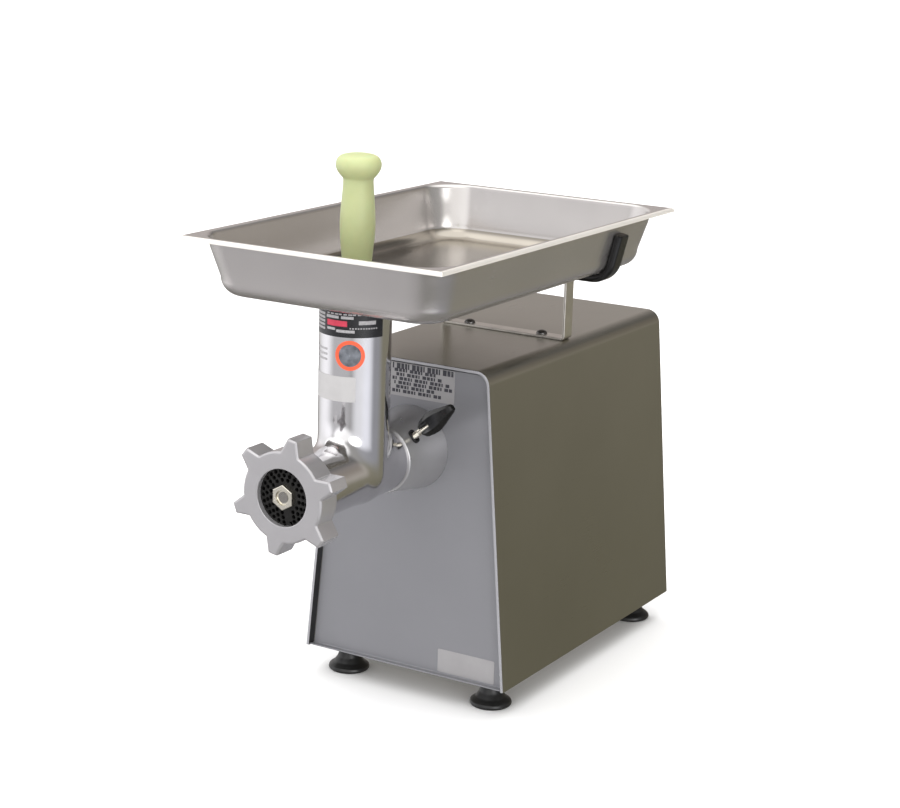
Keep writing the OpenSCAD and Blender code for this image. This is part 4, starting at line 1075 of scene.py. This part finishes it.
def make_plunger():
    low, high = span("plunger", 2)
    keys = [(r, low + h) for r, h in ((0, 0), (21, 0), (24.2, 1), (25, 3.5), (25, 25), (25, 44), (24.2, 49),
                                      (20.5, 56), (16.6, 63), (15.2, 72))]
    keys += [(r, PAN_Z + h) for r, h in ((15, 25), (15.3, 38), (16.5, 52), (17.9, 66), (18.6, 79), (18.5, 90),
                                         (17.7, 103), (16.7, 115), (16.1, 124))]
    keys += [(r, high - h) for r, h in ((16, 28), (16.6, 25.8), (18.7, 23.4), (21.3, 20.2), (23.2, 16.4),
                                        (24, 12.4), (23.4, 8.4), (21.6, 5), (18.4, 2.6), (13.4, 1.1), (7, 0.25),
                                        (0, 0))]
    smooth = []
    for i in range(len(keys) - 1):
        p0, p1, p2, p3 = (Vector(keys[max(0, min(len(keys) - 1, i + k))]) for k in (-1, 0, 1, 2))
        for j in range(4):
            t = j / 4
            q = 0.5 * ((2 * p1) + (p2 - p0) * t + (2 * p0 - 5 * p1 + 4 * p2 - p3) * t * t
                       + (3 * p1 - p0 - 3 * p2 + p3) * t * t * t)
            smooth.append((max(0, min(25, q.x)), min(high, max(low, q.y))))
    smooth[0] = (0, low)
    bm = lathe(shape(), smooth + [(0, high)], upright(0, TUBE_Y))
    publish("food_pusher", bm, "plunger", "lime_plastic", LIME, "plunger", sharp=50, weighted=False)


# ---- Controls ----

def make_controls():
    place = on_left_wall(FRONT + 90, BASE_Z + 250)
    holes = [round_hole(x, 0, 11.08, 64) for x in (-BUTTON_X, BUTTON_X)]
    bm = slab(shape(), [box_loop(-42, -21, 42, 21, 6)] + holes, [(0, 0), (1.4, 0), (2.1, 0.4), (2.5, 1.3)], place)
    slab(bm, [box_loop(-35.5, -15.5, 35.5, 15.5, 1)] + holes, [(-8, 0), (0.1, 0)], place)
    for x in (-BUTTON_X, BUTTON_X):
        ring = [(11.1, 2), (13.6, 2), (13.4, 2.45), (12.6, 2.5), (11.3, 2.5)]
        lathe(bm, ring, place @ upright(x, 0), 64, closed=True)
    publish("switch_bezel", bm, "cabinet", "black_plastic", GLOSS_BLACK, "switch_plate")
    for name, x, slot, finish in (("start", BUTTON_X, "green_plastic", GREEN),
                                  ("stop", -BUTTON_X, "red_plastic", RED)):
        bm = shape()
        profile = [(0, -20), (2.6, -20), (3, -19.5), (3, -8), (10.6, -8), (11, -7.6), (11, 3.4), (10.6, 4.4),
                   (9.6, 4.95), (8.4, 4.9), (5, 4.3), (0, 4.1)]
        lathe(bm, profile, place @ upright(x, 0), 64)
        publish(name + "_push_cap", bm, name + "_button", slot, finish, name + "_button")


for build in (make_wrap, make_front_panel, make_rear_panel, make_feet, make_plates, make_collar, make_clamp,
              make_head, make_labels, make_ring, make_plate, make_pan, make_bracket, make_plunger,
              make_controls):
    build()


# ---- Stage ----

def make_floor():
    bm = shape()
    bmesh.ops.create_grid(bm, x_segments=2, y_segments=2, size=30)
    floor = in_scene("studio_floor", as_mesh(bm, "studio_floor"))
    floor.data.materials.append(look("pale_floor", (0.93, 0.93, 0.93), 0, 0.7, vary=0.004, patch=2))
    floor.visible_glossy = False


def make_world():
    """Pale surroundings, with broad soft lights that only the object's surfaces see."""
    world = bpy.data.worlds.new("studio")
    bpy.context.scene.world = world
    world.use_nodes = True
    tree = world.node_tree
    tree.nodes.clear()
    links = tree.links
    place = new_node(tree, "TexCoord")

    def vector_math(operation, first, second=None):
        node = new_node(tree, "VectorMath")
        node.operation = operation
        for socket, value in zip(node.inputs, (first, second)):
            if isinstance(value, bpy.types.NodeSocket):
                links.new(value, socket)
            elif value is not None:
                socket.default_value = value
        return node

    # direction towards the light, cosine where it starts, cosine where it is full, colour
    fields = [((0, 0, 1), -1, 1, (0.3, 0.3, 0.3)),
              ((-0.5, -0.8, -0.25), 0.2, 0.95, (0.36, 0.36, 0.39)),
              ((0, 0, 1), 0.6, 0.88, (1.5, 1.5, 1.5)),
              ((-0.95, -0.1, 0.25), 0.55, 0.9, (0.7, 0.7, 0.72)),
              ((0.2, -0.9, 0.45), 0.75, 0.93, (0.9, 0.9, 0.9)),
              ((0.86, -0.5, -0.22), 0.78, 0.985, (0.72, 0.73, 0.78)),
              ((0.84, -0.5, 0.16), 0.945, 0.972, (3.2, 3.2, 3.2)),
              ((0.26, 0.83, 0.5), 0.8, 0.96, (-0.23, -0.23, -0.22)),
              ((0.98, 0.05, -0.25), 0.75, 0.98, (0.1, 0.11, 0.15)),
              ((0.52, 0.84, 0.16), 0.93, 0.99, (0.17, 0.15, 0.16)),
              ((0.53, 0.84, -0.1), 0.8, 0.97, (0, -0.01, -0.055)),
              ((-0.5, 0.83, 0.25), 0.75, 0.97, (0.14, 0.1, 0.1))]
    total = (0.16, 0.155, 0.14)
    for direction, start, full, colour in fields:
        dot = vector_math("DOT_PRODUCT", place.outputs["Generated"], Vector(direction).normalized())
        fit = new_node(tree, "MapRange", From_Min=start, From_Max=full)
        fit.interpolation_type = "SMOOTHSTEP"
        links.new(dot.outputs["Value"], fit.inputs["Value"])
        tint = vector_math("SCALE", colour)
        links.new(fit.outputs["Result"], tint.inputs["Scale"])
        total = vector_math("ADD", tint.outputs["Vector"], total).outputs["Vector"]
    lit = new_node(tree, "Background")
    links.new(total, lit.inputs["Color"])
    seen = new_node(tree, "Background", Color=(1, 1, 1, 1))
    mix = new_node(tree, "MixShader")
    links.new(new_node(tree, "LightPath").outputs["Is Camera Ray"], mix.inputs["Fac"])
    for k, light in ((1, lit), (2, seen)):
        links.new(light.outputs["Background"], mix.inputs[k])
    links.new(mix.outputs["Shader"], new_node(tree, "OutputWorld").inputs["Surface"])


def make_camera():
    data = bpy.data.cameras.new("photo_camera")
    data.sensor_width, data.lens = 36, 85.39
    data.clip_start, data.clip_end = 0.05, 80
    camera = in_scene("photo_camera", data)
    right, up = Vector((0.85645, 0.51538, 0.02969)), Vector((-0.15138, 0.19574, 0.9689))
    back = Vector((0.49354, -0.8343, 0.24566))
    turned = Matrix((right, up, back)).transposed().to_4x4()
    camera.matrix_world = Matrix.Translation((1.21008, -2.04704, 0.9295)) @ turned
    bpy.context.scene.camera = camera


def make_sun():
    data = bpy.data.lights.new("soft_overhead", "SUN")
    data.energy = 1.5
    data.angle = math.radians(70)
    lamp = in_scene("soft_overhead", data)
    lamp.rotation_euler = (math.radians(12), math.radians(-8), 0)
    lamp.visible_glossy = False


make_floor()
make_world()
make_sun()
make_camera()
bpy.context.scene.view_settings.view_transform = "Standard"
